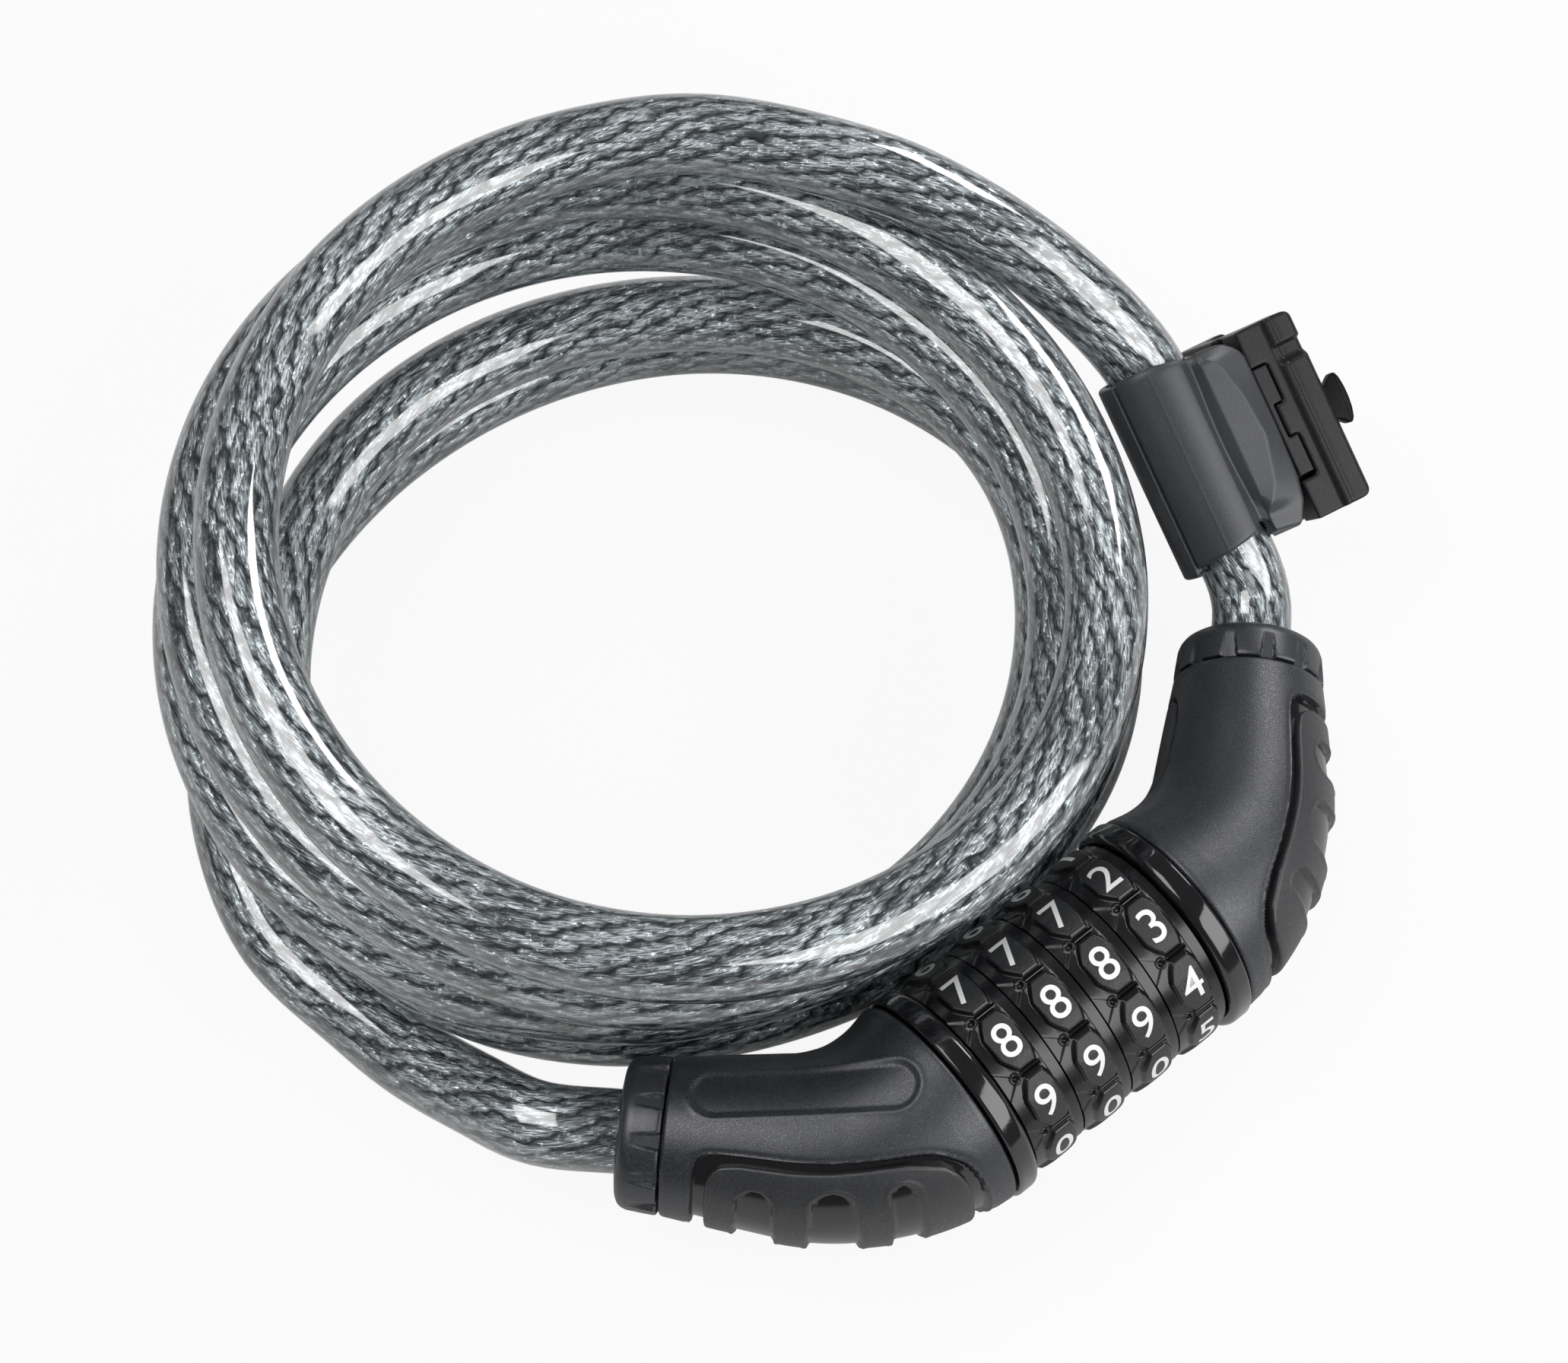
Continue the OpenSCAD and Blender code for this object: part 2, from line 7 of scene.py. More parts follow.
# %% Load the frame
import math
import bmesh
import bpy
import numpy as np
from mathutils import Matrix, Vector


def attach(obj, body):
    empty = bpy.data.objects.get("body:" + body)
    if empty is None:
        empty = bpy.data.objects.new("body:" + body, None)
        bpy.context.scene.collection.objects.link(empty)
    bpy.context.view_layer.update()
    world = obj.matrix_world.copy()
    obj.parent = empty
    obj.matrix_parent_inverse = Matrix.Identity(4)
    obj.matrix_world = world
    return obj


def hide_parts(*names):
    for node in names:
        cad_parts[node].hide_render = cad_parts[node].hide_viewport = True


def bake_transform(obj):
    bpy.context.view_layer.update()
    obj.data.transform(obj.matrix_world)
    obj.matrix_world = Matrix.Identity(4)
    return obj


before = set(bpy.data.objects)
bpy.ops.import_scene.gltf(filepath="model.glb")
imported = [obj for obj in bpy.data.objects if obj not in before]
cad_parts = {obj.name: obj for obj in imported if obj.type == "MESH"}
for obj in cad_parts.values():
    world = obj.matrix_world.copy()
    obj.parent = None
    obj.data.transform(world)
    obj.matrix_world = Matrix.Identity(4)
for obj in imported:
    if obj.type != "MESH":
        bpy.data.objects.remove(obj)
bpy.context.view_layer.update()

# %% [markdown]
# The camera looks down on the lock from the front left, about 65 degrees above
# the table. It is set from its place and the point that it looks at, so its
# turn is worked out from the line between the two.

# %% Camera
CAMERA_AT = Vector((-0.13127, -0.10697, 0.47128))
CAMERA_TO = Vector((0.00703, 0.06382, 0.0))
camera_data = bpy.data.cameras.new("camera")
camera_data.sensor_width = 36.0
camera_data.lens = 76.26
camera_data.clip_start = 0.01
camera = bpy.data.objects.new("camera", camera_data)
camera.location = CAMERA_AT
camera.rotation_euler = (CAMERA_TO - CAMERA_AT).to_track_quat("-Z", "Y").to_euler()
bpy.context.scene.collection.objects.link(camera)
bpy.context.scene.camera = camera
print("camera distance", round((CAMERA_TO - CAMERA_AT).length, 3))

# %% [markdown]
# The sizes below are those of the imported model, in millimetres. MM turns them
# into Blender's metres at the moment a mesh is made.

# %% Shared sizes
MM = 0.001
CABLE_R = 6.0
BARREL_Y, AXIS_Z = -7.7, 17.25
HOUSE_X, FACE_X = 21.9, 22.2
LEAD_IN, BEND_R, BEND, NECK_LEN = 1.2, 28.5, math.radians(45), 23.6
ELBOW_LEN = LEAD_IN + BEND_R * BEND + NECK_LEN
COLLAR_LEN = 6.2
SHELL_LEN = ELBOW_LEN - COLLAR_LEN - 0.3
print("elbow", round(ELBOW_LEN, 2), "shell", round(SHELL_LEN, 2))

# %% [markdown]
# Most pieces here are skins: rings of points joined by four-sided faces and
# shut at both ends. One helper makes them. It measures the closed shape's
# volume, which comes out negative when the faces point inwards, and turns them
# round in that case, so every skin faces outwards. A band is made the same way,
# with its last ring joined to its first.


# %% Helpers that make meshes
def finished(obj, sharp):
    """Smooth faces, with creases where two faces meet at more than the angle."""
    obj.data.shade_smooth()
    obj.data.set_sharp_from_angle(angle=math.radians(sharp))
    return obj


def shape(name, points, faces, sharp=35.0):
    """A mesh object at the origin, from points in millimetres."""
    mesh = bpy.data.meshes.new(name)
    mesh.from_pydata((np.asarray(points, float) * MM).tolist(), [], faces)
    mesh.update()
    obj = bpy.data.objects.new(name, mesh)
    bpy.context.scene.collection.objects.link(obj)
    return finished(obj, sharp)


def grid_faces(rows, cols, around=True, closed=False):
    """Four-sided faces between rows of points. Around joins the ends of each
    row, and closed joins the last row to the first."""
    i, k = np.meshgrid(np.arange(rows if closed else rows - 1),
                       np.arange(cols if around else cols - 1), indexing="ij")
    row, next_row, next_k = i * cols, (i + 1) % rows * cols, (k + 1) % cols
    corners = [row + k, row + next_k, next_row + next_k, next_row + k]
    return np.stack(corners, axis=-1).reshape(-1, 4).tolist()


def outwards(points, faces):
    """The same closed faces, all turned round if their volume is negative."""
    p = np.asarray(points, float)
    volume = 0.0
    for count in {len(f) for f in faces}:
        f = np.array([g for g in faces if len(g) == count])
        for j in range(1, count - 1):
            turned = np.cross(p[f[:, j]], p[f[:, j + 1]])
            volume += float(np.einsum("ij,ij->", p[f[:, 0]], turned)) / 6
    return [f[::-1] for f in faces] if volume < 0 else faces


def skin(name, rings, sharp):
    """A closed skin over rings of points, in millimetres."""
    rows, cols = rings.shape[:2]
    points = rings.reshape(-1, 3)
    faces = grid_faces(rows, cols)
    faces.append(list(range(cols))[::-1])
    faces.append([(rows - 1) * cols + k for k in range(cols)])
    return shape(name, points, outwards(points, faces), sharp)


def band(name, rings, sharp):
    """A closed band: rings joined in a row, and the last one to the first."""
    points = rings.reshape(-1, 3)
    faces = grid_faces(*rings.shape[:2], closed=True)
    return shape(name, points, outwards(points, faces), sharp)


def smooth_step(t):
    """From 0 to 1 as t goes from 0 to 1, without a corner at either end."""
    t = np.clip(t, 0.0, 1.0)
    return t * t * (3 - 2 * t)


def hump(t):
    """A smooth bump, 1 in the middle."""
    return np.exp(-t ** 2)


def rolled_edge(t):
    """The drop of a rounded edge, from 1 at the rim (t = 0) to none at t = 1."""
    return 1 - np.sqrt(np.clip(1 - (1 - np.clip(t, 0, 1)) ** 2, 0, 1))


# %% [markdown]
# The cable is 12 mm thick. It leaves the socket housing, passes through the
# bracket's sleeve, climbs to the top of the pile, winds down in four and a
# third loops and enters the plug housing. Its route is a handful of given
# points and one rule for the loops, and a smooth curve runs through them all.

# %% The cable's route
LOOP_MIDDLES = [(-1.7, 70.5), (-2.2, 74), (-7.7, 73.5), (-9.3, 71), (-8.3, 76.5),
                (-7.8, 79), (-9.8, 76), (-10.8, 76), (-10.3, 76.5), (-11.3, 78.5),
                (-12.5, 81), (-11, 77.5), (-8.3, 66), (-3.5, 72.5), (-11.3, 81.5),
                (-3.5, 73), (-8.3, 70.3), (-17.8, 68), (-13.3, 63)]
MIDDLES_PER_TURN, POINTS_PER_TURN = 4, 24
LOOP_R, LAYER, TOP_LAYER = 63.5, 12.8, 4
FIRST_ANGLE, TURNS = 51.0, 4.35
DROP_FROM, DROP_TO = 0.31, 0.75


def through(knots, t):
    """A smooth curve through the knots, at t knots from the first."""
    knots = np.asarray(knots, float)
    last = len(knots) - 1
    i = min(int(math.floor(t + 1e-6)), last - 1)
    s = t - i
    b, c = knots[i], knots[i + 1]
    a = knots[i - 1] if i > 0 else 2 * b - c
    d = knots[i + 2] if i + 2 <= last else 2 * c - b
    return 0.5 * (2 * b + (c - a) * s + (2 * a - 5 * b + 4 * c - d) * s * s
                  + (3 * b - a - 3 * c + d) * s ** 3)


def loop_point(turn):
    """The cable's middle on the pile, turn loops from its start at the top."""
    whole = math.floor(turn + 1e-6)
    drop = float(smooth_step((turn - whole - DROP_FROM) / (DROP_TO - DROP_FROM)))
    middle = through(LOOP_MIDDLES, turn * MIDDLES_PER_TURN)
    angle = math.radians(FIRST_ANGLE + 360 * turn)
    return (middle[0] + LOOP_R * math.cos(angle), middle[1] + LOOP_R * math.sin(angle),
            CABLE_R + LAYER * max(TOP_LAYER - whole - drop, 0.0))


NECK = np.array([math.cos(BEND), math.sin(BEND), 0.0])
MOUTH = np.array([FACE_X + LEAD_IN + BEND_R * math.sin(BEND) + NECK_LEN * math.cos(BEND),
                  BARREL_Y + BEND_R * (1 - math.cos(BEND)) + NECK_LEN * math.sin(BEND), AXIS_Z])
MIRRORED = np.array([-1.0, 1.0, 1.0])
PLUG_NECK, PLUG_MOUTH = NECK * MIRRORED, MOUTH * MIRRORED
INSIDE = 17.2
loops = [loop_point(k / POINTS_PER_TURN) for k in range(round(TURNS * POINTS_PER_TURN) + 1)]
climb = [(65, 22.3, 17.8), (66.7, 25.4, 19), (67.6, 29, 21), (69.8, 43.2, 28.2),
         (72, 57.4, 35.3), (71.4, 63.5, 38.6), (69.4, 70.5, 42.6), (66.2, 79, 47),
         (61, 89.5, 51.6), (54.3, 100.4, 55)]
descent = [(-77.8, 58.6, 6.8), (-75.9, 47.7, 9), (-72.6, 36.6, 12.6)]
# both ends run straight for some millimetres, on either side of a collar's mouth
route = np.array([MOUTH - INSIDE * NECK, MOUTH - 8 * NECK, MOUTH, MOUTH + 3 * NECK,
                  *climb, *loops, *descent, PLUG_MOUTH + 12 * PLUG_NECK, PLUG_MOUTH,
                  PLUG_MOUTH - 8 * PLUG_NECK, PLUG_MOUTH - INSIDE * PLUG_NECK])
print("route points", len(route), "on the loops", len(loops))

# %% [markdown]
# The points stand at uneven distances, so the curve between them is spaced by
# the square root of each distance, which keeps it free of kinks. It is then
# cut into equal steps of 1 mm, and a frame is carried along it without twist,
# so that rings of points can be placed round it.


# %% Smooth curve and frames along the route
def between(u, t0, t1, p0, p1):
    """The place at u on the straight way from p0 at t0 to p1 at t1."""
    return ((t1 - u) * p0 + (u - t0) * p1) / (t1 - t0)


def gaps(line):
    """The distance from each point of a line to the next."""
    return np.linalg.norm(np.diff(line, axis=0), axis=1)


def smooth_line(knots, steps=12):
    """Points on a kink-free curve through unevenly spaced knots."""
    k = np.vstack([2 * knots[0] - knots[1], knots, 2 * knots[-1] - knots[-2]])
    t = np.concatenate([[0], np.cumsum(gaps(k) ** 0.5)])
    out = []
    for i in range(1, len(k) - 2):
        for u in np.linspace(t[i], t[i + 1], steps, endpoint=False):
            a = [between(u, t[j], t[j + 1], k[j], k[j + 1]) for j in (i - 1, i, i + 1)]
            b = [between(u, t[i + j - 1], t[i + j + 1], a[j], a[j + 1]) for j in (0, 1)]
            out.append(between(u, t[i], t[i + 1], *b))
    return np.array(out + [knots[-1]])


def evenly(line, spacing):
    """The same line in equal steps, as near to spacing as they divide it."""
    far = np.concatenate([[0], np.cumsum(gaps(line))])
    at = np.linspace(0, far[-1], int(round(far[-1] / spacing)) + 1)
    return np.stack([np.interp(at, far, line[:, j]) for j in range(3)], axis=1)


def carried_frames(line):
    """Two directions square to the line at each point, carried without twist."""
    heading = np.gradient(line, axis=0)
    heading /= np.linalg.norm(heading, axis=1)[:, None]
    side = np.cross([0, 0, 1.0], heading[0])
    sides = []
    for t in heading:
        side = side - t * np.dot(side, t)
        side /= np.linalg.norm(side)
        sides.append(side)
    return np.array(sides), np.cross(heading, sides)


def length_of(line):
    """The length of a line, in the line's own units."""
    return float(gaps(line).sum())


STEP, RING_EVERY, MM_TO_CM = 1.0, 2, 0.1
whole_line = evenly(smooth_line(route), STEP)
side_dirs, up_dirs = carried_frames(whole_line)
SEAM = int(np.argmin(np.linalg.norm(whole_line - np.array(loops[-1]), axis=1)))
END = len(whole_line) - 1
print("cable", round(length_of(whole_line), 1), "mm, seam at point", SEAM)

# %% [markdown]
# The cable is made in two stretches. On the real lock the last one bends when
# the plug is drawn out, and here it is made as a stretch of its own. Each has a
# clear sheath and a steel rope inside it. Both are tubes round the same line.
# The map on the rope's surface holds the length along it and the place round
# it, so the strands run on across the joint.


# %% Tubes round the route
def tube(name, first, last, radius, sides):
    """A closed tube round part of the line, with a map of length and turn."""
    index = [*range(first, last, RING_EVERY), last]
    a = np.linspace(0, 2 * math.pi, sides, endpoint=False)[None, :, None]
    rings = (whole_line[index][:, None] + radius
             * (np.cos(a) * side_dirs[index][:, None] + np.sin(a) * up_dirs[index][:, None]))
    obj = skin(name, rings, 50)
    mesh = obj.data
    vertex = np.empty(len(mesh.loops), dtype=np.int32)
    mesh.loops.foreach_get("vertex_index", vertex)
    ring, place = vertex // sides, vertex % sides
    along, turn = np.array(index)[ring] * STEP * MM_TO_CM, place / sides
    # the face that closes each ring runs on to 1 and not back to 0
    starts = np.empty(len(mesh.polygons), dtype=np.int32)
    mesh.polygons.foreach_get("loop_start", starts)
    corner = starts[:-2, None] + np.arange(4)
    for c in corner[np.ptp(turn[corner], axis=1) > 0.5]:
        turn[c[turn[c] < 0.5]] += 1.0
    lay = np.stack([along, turn], axis=1).astype(np.float32)
    mesh.uv_layers.new(name="lay").data.foreach_set("uv", lay.ravel())
    return obj


cable = tube("cable_sheath", 0, SEAM, CABLE_R, 56)
tail = tube("plug_tail_sheath", SEAM, END, CABLE_R, 56)
print("sheath faces", len(cable.data.polygons), len(tail.data.polygons))

# %% [markdown]
# Patterns and repeated parts are node trees, built by a few helpers. A Value
# stands for one output of a node, and adding or multiplying Values makes the
# Math nodes, so a pattern reads like a formula. A Geometry Nodes tree is run on
# a piece as a modifier, and what it makes is kept as the piece's own mesh.


# %% Helpers that build node trees
class Value:
    """One output of a node. Adding, multiplying and so on makes Math nodes."""

    def __init__(self, tree, socket):
        self.tree, self.socket = tree, socket

    def math(self, kind, *others):
        return self.tree.math(kind, self, *others)

    __add__ = __radd__ = lambda a, b: a.math("ADD", b)
    __mul__ = __rmul__ = lambda a, b: a.math("MULTIPLY", b)
    __sub__ = lambda a, b: a.math("SUBTRACT", b)
    __rsub__ = lambda a, b: a.tree.math("SUBTRACT", b, a)
    __truediv__ = lambda a, b: a.math("DIVIDE", b)
    __pow__ = lambda a, b: a.math("POWER", b)

    def ranged(self, low, high, start=0.0, end=1.0):
        """A value from low to high as this one goes from start to end."""
        return self.tree.value("ShaderNodeMapRange", {
            "Value": self, "From Min": start, "From Max": end, "To Min": low, "To Max": high})

    def mixed(self, low, high):
        """A colour between two, by this factor."""
        low, high = (c if isinstance(c, Value) else (*c, 1) for c in (low, high))
        return self.tree.value("ShaderNodeMix", {"Factor": self, "A": low, "B": high},
                               "Result", data_type="RGBA")


class Tree:
    """Adds nodes to a tree and joins their sockets by name."""

    def __init__(self, tree):
        self.tree = tree

    def put(self, value, socket):
        """Joins a Value to a socket, or sets the socket to a plain value."""
        if isinstance(value, Value):
            self.tree.links.new(value.socket, socket)
        else:
            socket.default_value = value

    def add(self, kind, values=None, **settings):
        node = self.tree.nodes.new(kind)
        for key, value in settings.items():
            setattr(node, key, value)
        for key, value in (values or {}).items():
            self.put(value, node.inputs[key])
        return node

    def value(self, kind, values=None, pick=0, **settings):
        """One output of a new node, by its place or name."""
        return Value(self, self.add(kind, values, **settings).outputs[pick])

    def named(self, kind, values=None, **settings):
        """All outputs of a new node by name."""
        return {s.name: Value(self, s) for s in self.add(kind, values, **settings).outputs}

    def math(self, kind, *values):
        return self.value("ShaderNodeMath", dict(enumerate(values)), operation=kind)

    def noise(self, scale, detail=2.0, where=None, roughness=0.5):
        """Noise in the object's own coordinates, or at another place."""
        where = where or self.value("ShaderNodeTexCoord", pick="Object")
        return self.value("ShaderNodeTexNoise", {"Vector": where, "Scale": scale,
                                                 "Detail": detail, "Roughness": roughness}, "Fac")


def new_group(name, kind, inputs, outputs):
    """A node group: its tree, and what comes in by name."""
    group = bpy.data.node_groups.new(name, kind)
    for title, (sort, value) in inputs.items():
        socket = group.interface.new_socket(title, in_out="INPUT", socket_type="NodeSocket" + sort)
        if value is not None:
            socket.default_value = value
    for title, sort in outputs.items():
        group.interface.new_socket(title, in_out="OUTPUT", socket_type="NodeSocket" + sort)
    t = Tree(group)
    return group, t, t.named("NodeGroupInput")


def geometry_group(name, **inputs):
    """A Geometry Nodes group. It takes a mesh and gives one in a finish."""
    sockets = {"Geometry": ("Geometry", None), **inputs, "Finish": ("Material", None)}
    return new_group(name, "GeometryNodeTree", sockets, {"Geometry": "Geometry"})


def dressed(t, given, geometry):
    """Ends a Geometry Nodes group: the mesh is given its finish."""
    done = t.value("GeometryNodeSetMaterial", {"Geometry": geometry, "Material": given["Finish"]})
    t.add("NodeGroupOutput", {"Geometry": done})


def run_nodes(obj, tree, **values):
    """Runs a Geometry Nodes tree on a piece and keeps the result as its mesh."""
    modifier = obj.modifiers.new(tree.name, "NODES")
    modifier.node_group = tree
    for item in tree.interface.items_tree:
        if item.in_out == "INPUT" and item.name in values:
            modifier[item.identifier] = values[item.name]
    graph = bpy.context.evaluated_depsgraph_get()
    made = bpy.data.meshes.new_from_object(obj.evaluated_get(graph))
    obj.modifiers.clear()
    made.name = obj.name
    obj.data = made
    return obj


# %% [markdown]
# The rope inside is laid from strands that wind round it. A Geometry Nodes tree
# lays them: it starts from a plain tube, reads the map, and lowers the surface
# between as many rounded rows as there are strands. One tree serves both
# stretches of rope, with the same inputs, so the strands meet.


# %% Tree that lays the strands
def strand_tree():
    """Rows of rounded strands on a tube, with hollows between them."""
    tree, t, given = geometry_group("lay_strands", Strands=("Int", 20), Lay=("Float", 40.0),
                                    Depth=("Float", 0.00025))
    place = t.value("GeometryNodeInputNamedAttribute", {"Name": "lay"}, "Attribute",
                    data_type="FLOAT_VECTOR")
    lay = t.named("ShaderNodeSeparateXYZ", {0: place})
    rows = (lay["Y"] - lay["X"] / given["Lay"]) * given["Strands"] * math.pi
    crown = rows.math("SINE").math("ABSOLUTE") ** 0.6
    offset = t.value("ShaderNodeVectorMath", {
        0: t.value("GeometryNodeInputNormal"), "Scale": (crown - 1.0) * given["Depth"]},
        operation="SCALE")
    moved = t.value("GeometryNodeSetPosition", {"Geometry": given["Geometry"], "Offset": offset})
    dressed(t, given, t.value("GeometryNodeRealizeInstances", {"Geometry": moved}))
    return tree


# %% [markdown]
# Finishes come next. Effects that several finishes share are shader groups with
# named inputs: a moulded grain, which is fine speckle, and a handling haze, the
# broad soft patches that fingers leave on plastic. They give only heights and
# masks, and each finish keeps its own surface shader.


# %% Shared shader groups
def grain_group():
    """Fine moulded speckle. Height for bumps and gloss, Fleck for colour."""
    group, t, given = new_group("moulded_grain", "ShaderNodeTree",
                                {"Scale": ("Float", 2500.0), "Contrast": ("Float", 1.0)},
                                {"Height": "Float", "Fleck": "Float"})
    fine = t.noise(given["Scale"], roughness=0.6)
    cells = t.value("ShaderNodeTexVoronoi", {
        "Vector": t.value("ShaderNodeTexCoord", pick="Object"), "Scale": given["Scale"] * 0.8})
    fleck = cells.math("LESS_THAN", 0.3) * fine.math("GREATER_THAN", 0.5)
    t.add("NodeGroupOutput", {"Height": fine * given["Contrast"],
                              "Fleck": fleck * given["Contrast"]})
    return group


def haze_group():
    """Broad soft patches, as a mask from 0 to 1."""
    group, t, given = new_group("handling_haze", "ShaderNodeTree",
                                {"Scale": ("Float", 60.0), "Amount": ("Float", 1.0)},
                                {"Haze": "Float"})
    soft = t.noise(given["Scale"], 4.0).ranged(0, 1, 0.35, 0.7)
    t.add("NodeGroupOutput", {"Haze": soft * given["Amount"]})
    return group


GRAIN, HAZE = grain_group(), haze_group()


class Finish(Tree):
    """A material with one Principled BSDF, whose sockets are set by name."""

    def __init__(self, name, **sockets):
        self.material = bpy.data.materials.new(name)
        self.material.use_nodes = True
        super().__init__(self.material.node_tree)
        self.surface = self.tree.nodes["Principled BSDF"]
        self.feed(**{"Roughness": 0.4, **sockets})

    def feed(self, **sockets):
        """Sets or joins the surface shader's own sockets."""
        for key, value in sockets.items():
            self.put(value, self.surface.inputs[key.replace("_", " ")])

    def shared(self, group, **values):
        """The outputs of a shared group, placed with its own values."""
        node = self.add("ShaderNodeGroup", node_tree=group)
        for key, value in values.items():
            node.inputs[key].default_value = value
        return [Value(self, s) for s in node.outputs]

    def bump(self, height, distance):
        self.feed(Normal=self.value("ShaderNodeBump", {"Height": height, "Distance": distance}))


def plastic(name, dark, light, rough, grain_size, grain_depth, **sockets):
    """Moulded plastic: grain in colour and height, haze in its gloss."""
    t = Finish(name, **sockets)
    height, fleck = t.shared(GRAIN, Scale=1000.0 / grain_size)
    soft, = t.shared(HAZE, Amount=0.5)
    t.feed(Base_Color=fleck.mixed(dark, light), Roughness=soft.ranged(rough - 0.04, rough + 0.08))
    t.bump(height, grain_depth * MM)
    return t.material


print("shared effects", GRAIN.name, HAZE.name)

# %% [markdown]
# The sheath is clear vinyl with a smoky tint, so it is a glass-like surface
# with the bend of light that such plastic has. The steel inside shows through
# it, stretched to almost its full width, as in a thick lens. Shadow rays pass
# most of the way through, so that light reaches the steel.

# %% Sheath finish
t = Finish("clear_vinyl", IOR=1.47, Transmission_Weight=1.0, Coat_Weight=1.0, Coat_IOR=1.9,
           Coat_Roughness=0.08)
haze, = t.shared(HAZE, Scale=90.0)
# light that leaves near the edge has come a longer way through the smoky vinyl
edge = t.value("ShaderNodeLayerWeight", {"Blend": 0.5}, "Facing") ** 1.6
in_shadow = t.value("ShaderNodeLightPath", pick="Is Shadow Ray")
t.feed(Roughness=haze.ranged(0.02, 0.08),
       Base_Color=edge.mixed((0.74, 0.78, 0.81), (0.02, 0.026, 0.032)),
       Alpha=in_shadow.ranged(1.0, 0.3))
sheath_finish = t.material
print("sheath nodes", len(t.tree.nodes))

# %% [markdown]
# The rope is made of thin bundles laid side by side in rows, nearly along the
# cable. In each row the bundles overlap, and every bundle is made of hair-thin
# wires. The three patterns are worked out from the map: length in centimetres
# and turn. The steel's colour carries painted light: a painted highlight on each
# crown and painted glints on its wires, and painted shade in the gap behind it
# and at its sides. Each bundle gets its own share of that painted light.

# %% Rope finish
STRANDS, LAY_CM, CELL_CM = 20, 40.0, 0.7
# the dark colour is painted shade for the gaps between bundles, the bright one is the steel itself
PAINTED_GAP_SHADE, BRIGHT_STEEL = (0.022, 0.03, 0.034), (0.93, 0.97, 0.98)
t = Finish("bright_steel_rope", Metallic=0.8)
lay = t.named("ShaderNodeSeparateXYZ", {0: t.value("ShaderNodeUVMap", uv_map="lay")})
along, turn = lay["X"], lay["Y"]
stray = t.noise(170.0, 1.0) - 0.5
# rows of bundles, one beside the other, leaning a little round the rope
row = turn * STRANDS - along * (STRANDS / LAY_CM) + stray
across = row.math("FRACT") * 2.0 - 1.0
strand = (1.0 - across * across).math("MAXIMUM", 0.0).math("SQRT")
number = row.math("FLOOR").math("FLOORED_MODULO", STRANDS)
# along each row the bundles overlap: each rises slowly and falls sharply
step = along / CELL_CM + number * 0.5 + (row.math("FRACT") * 0.3 + stray)
tile = step.math("FRACT")
ridge = tile.ranged(0.0, 1.0, 0.0, 0.4) * tile.ranged(1.0, 0.0, 0.72, 0.97)
# hair-thin wires: streaks drawn out along the rope and leaning the other way
drawn = t.value("ShaderNodeCombineXYZ", {0: along * 5.0, 1: turn * 100.0 + along * 8.0})
wires = t.noise(1.0, 1.0, drawn).ranged(0.0, 1.0, 0.38, 0.66)
beads = t.noise(1100.0).ranged(0.0, 1.0, 0.54, 0.64)
# every bundle gets its own share of the painted light and shade
cell = t.value("ShaderNodeCombineXYZ", {0: number, 1: step.math("FLOOR")})
chance = t.value("ShaderNodeTexWhiteNoise", {"Vector": cell}, "Value", noise_dimensions="2D")
share = chance * 0.9 + t.noise(90.0).ranged(-0.6, 2.5)
# painted light: highlights on the crowns, glints on the wires and beads, and painted shade in the
# gaps and at each strand's sides
painted_light_and_shade = ridge * share * (strand ** 0.5 * (wires * 0.8 + beads * 0.6 + 0.16))
t.feed(Base_Color=(painted_light_and_shade + beads * 0.08).mixed(PAINTED_GAP_SHADE, BRIGHT_STEEL),
       Roughness=beads.ranged(0.36, 0.18))
t.bump(strand * 0.35 + (ridge * 0.4 + wires * 0.25), 0.0004)
rope_finish, rope_tree = t.material, strand_tree()
ROPE_R, ROPE_DEPTH = 4.1, 0.00025


def rope(name, first, last):
    """The rope in a stretch of cable: a tube with its strands laid on it."""
    plain = tube(name, first, last, ROPE_R, 80)
    made = run_nodes(plain, rope_tree, Strands=STRANDS, Lay=LAY_CM, Depth=ROPE_DEPTH,
                     Finish=rope_finish)
    return finished(made, 60)


cable_core = rope("cable_core", 0, SEAM)
tail_core = rope("plug_tail_core", SEAM, END)
print("rope faces", len(cable_core.data.polygons), len(tail_core.data.polygons))

# %% [markdown]
# The long stretch rides with the socket. The tail leaves it at the seam and has
# its place baked into its points.

# %% What the cable rides on
for piece in (cable, tail):
    piece.data.materials.append(sheath_finish)
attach(cable, "socket_side")
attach(cable_core, "socket_side")
# the tail's place is baked into its points
for piece in (tail, tail_core):
    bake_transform(piece)
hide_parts("coil", "socket_lead")
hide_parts("plug_lead", "plug_cable_end")

# %% [markdown]
# Every piece to come follows one body. This helper gives it its finish, hides
# the imported piece that it stands for, and hangs it on the body that it rides on.


# %% Helper that dresses a piece
def fit(piece, node, body, finish=None):
    """Dresses a piece, hides the imported piece that it stands for, and hangs it on its body."""
    if finish:
        piece.data.materials.clear()
        piece.data.materials.append(finish)
    if node:
        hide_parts(node)
    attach(piece, body)


# %% [markdown]
# The floor is a wide pale sheet. It glows for the camera, for what is seen
# through clear plastic and, weakly, for mirrors, which keeps it white there and
# leaves the light on the lock as it is. The rest takes light and shadow.

# %% Floor
bpy.ops.mesh.primitive_plane_add(size=60.0, location=(0, 0, -0.0003))
floor = bpy.context.object
floor.name = "floor"
t = Finish("pale_floor", Roughness=0.9, Base_Color=(0.6, 0.6, 0.6, 1))
rays = t.named("ShaderNodeLightPath")
mirrored = rays["Is Glossy Ray"] * 0.12
# light that has met the steel first finds the floor as the lamps leave it
direct = rays["Is Transmission Ray"] * rays["Ray Depth"].math("LESS_THAN", 2.5)
seen = rays["Is Camera Ray"].math("MAXIMUM", mirrored.math("MAXIMUM", direct))
glow = t.value("ShaderNodeEmission", {"Color": (1, 1, 1, 1), "Strength": 1.0})
lit = Value(t, t.surface.outputs[0])
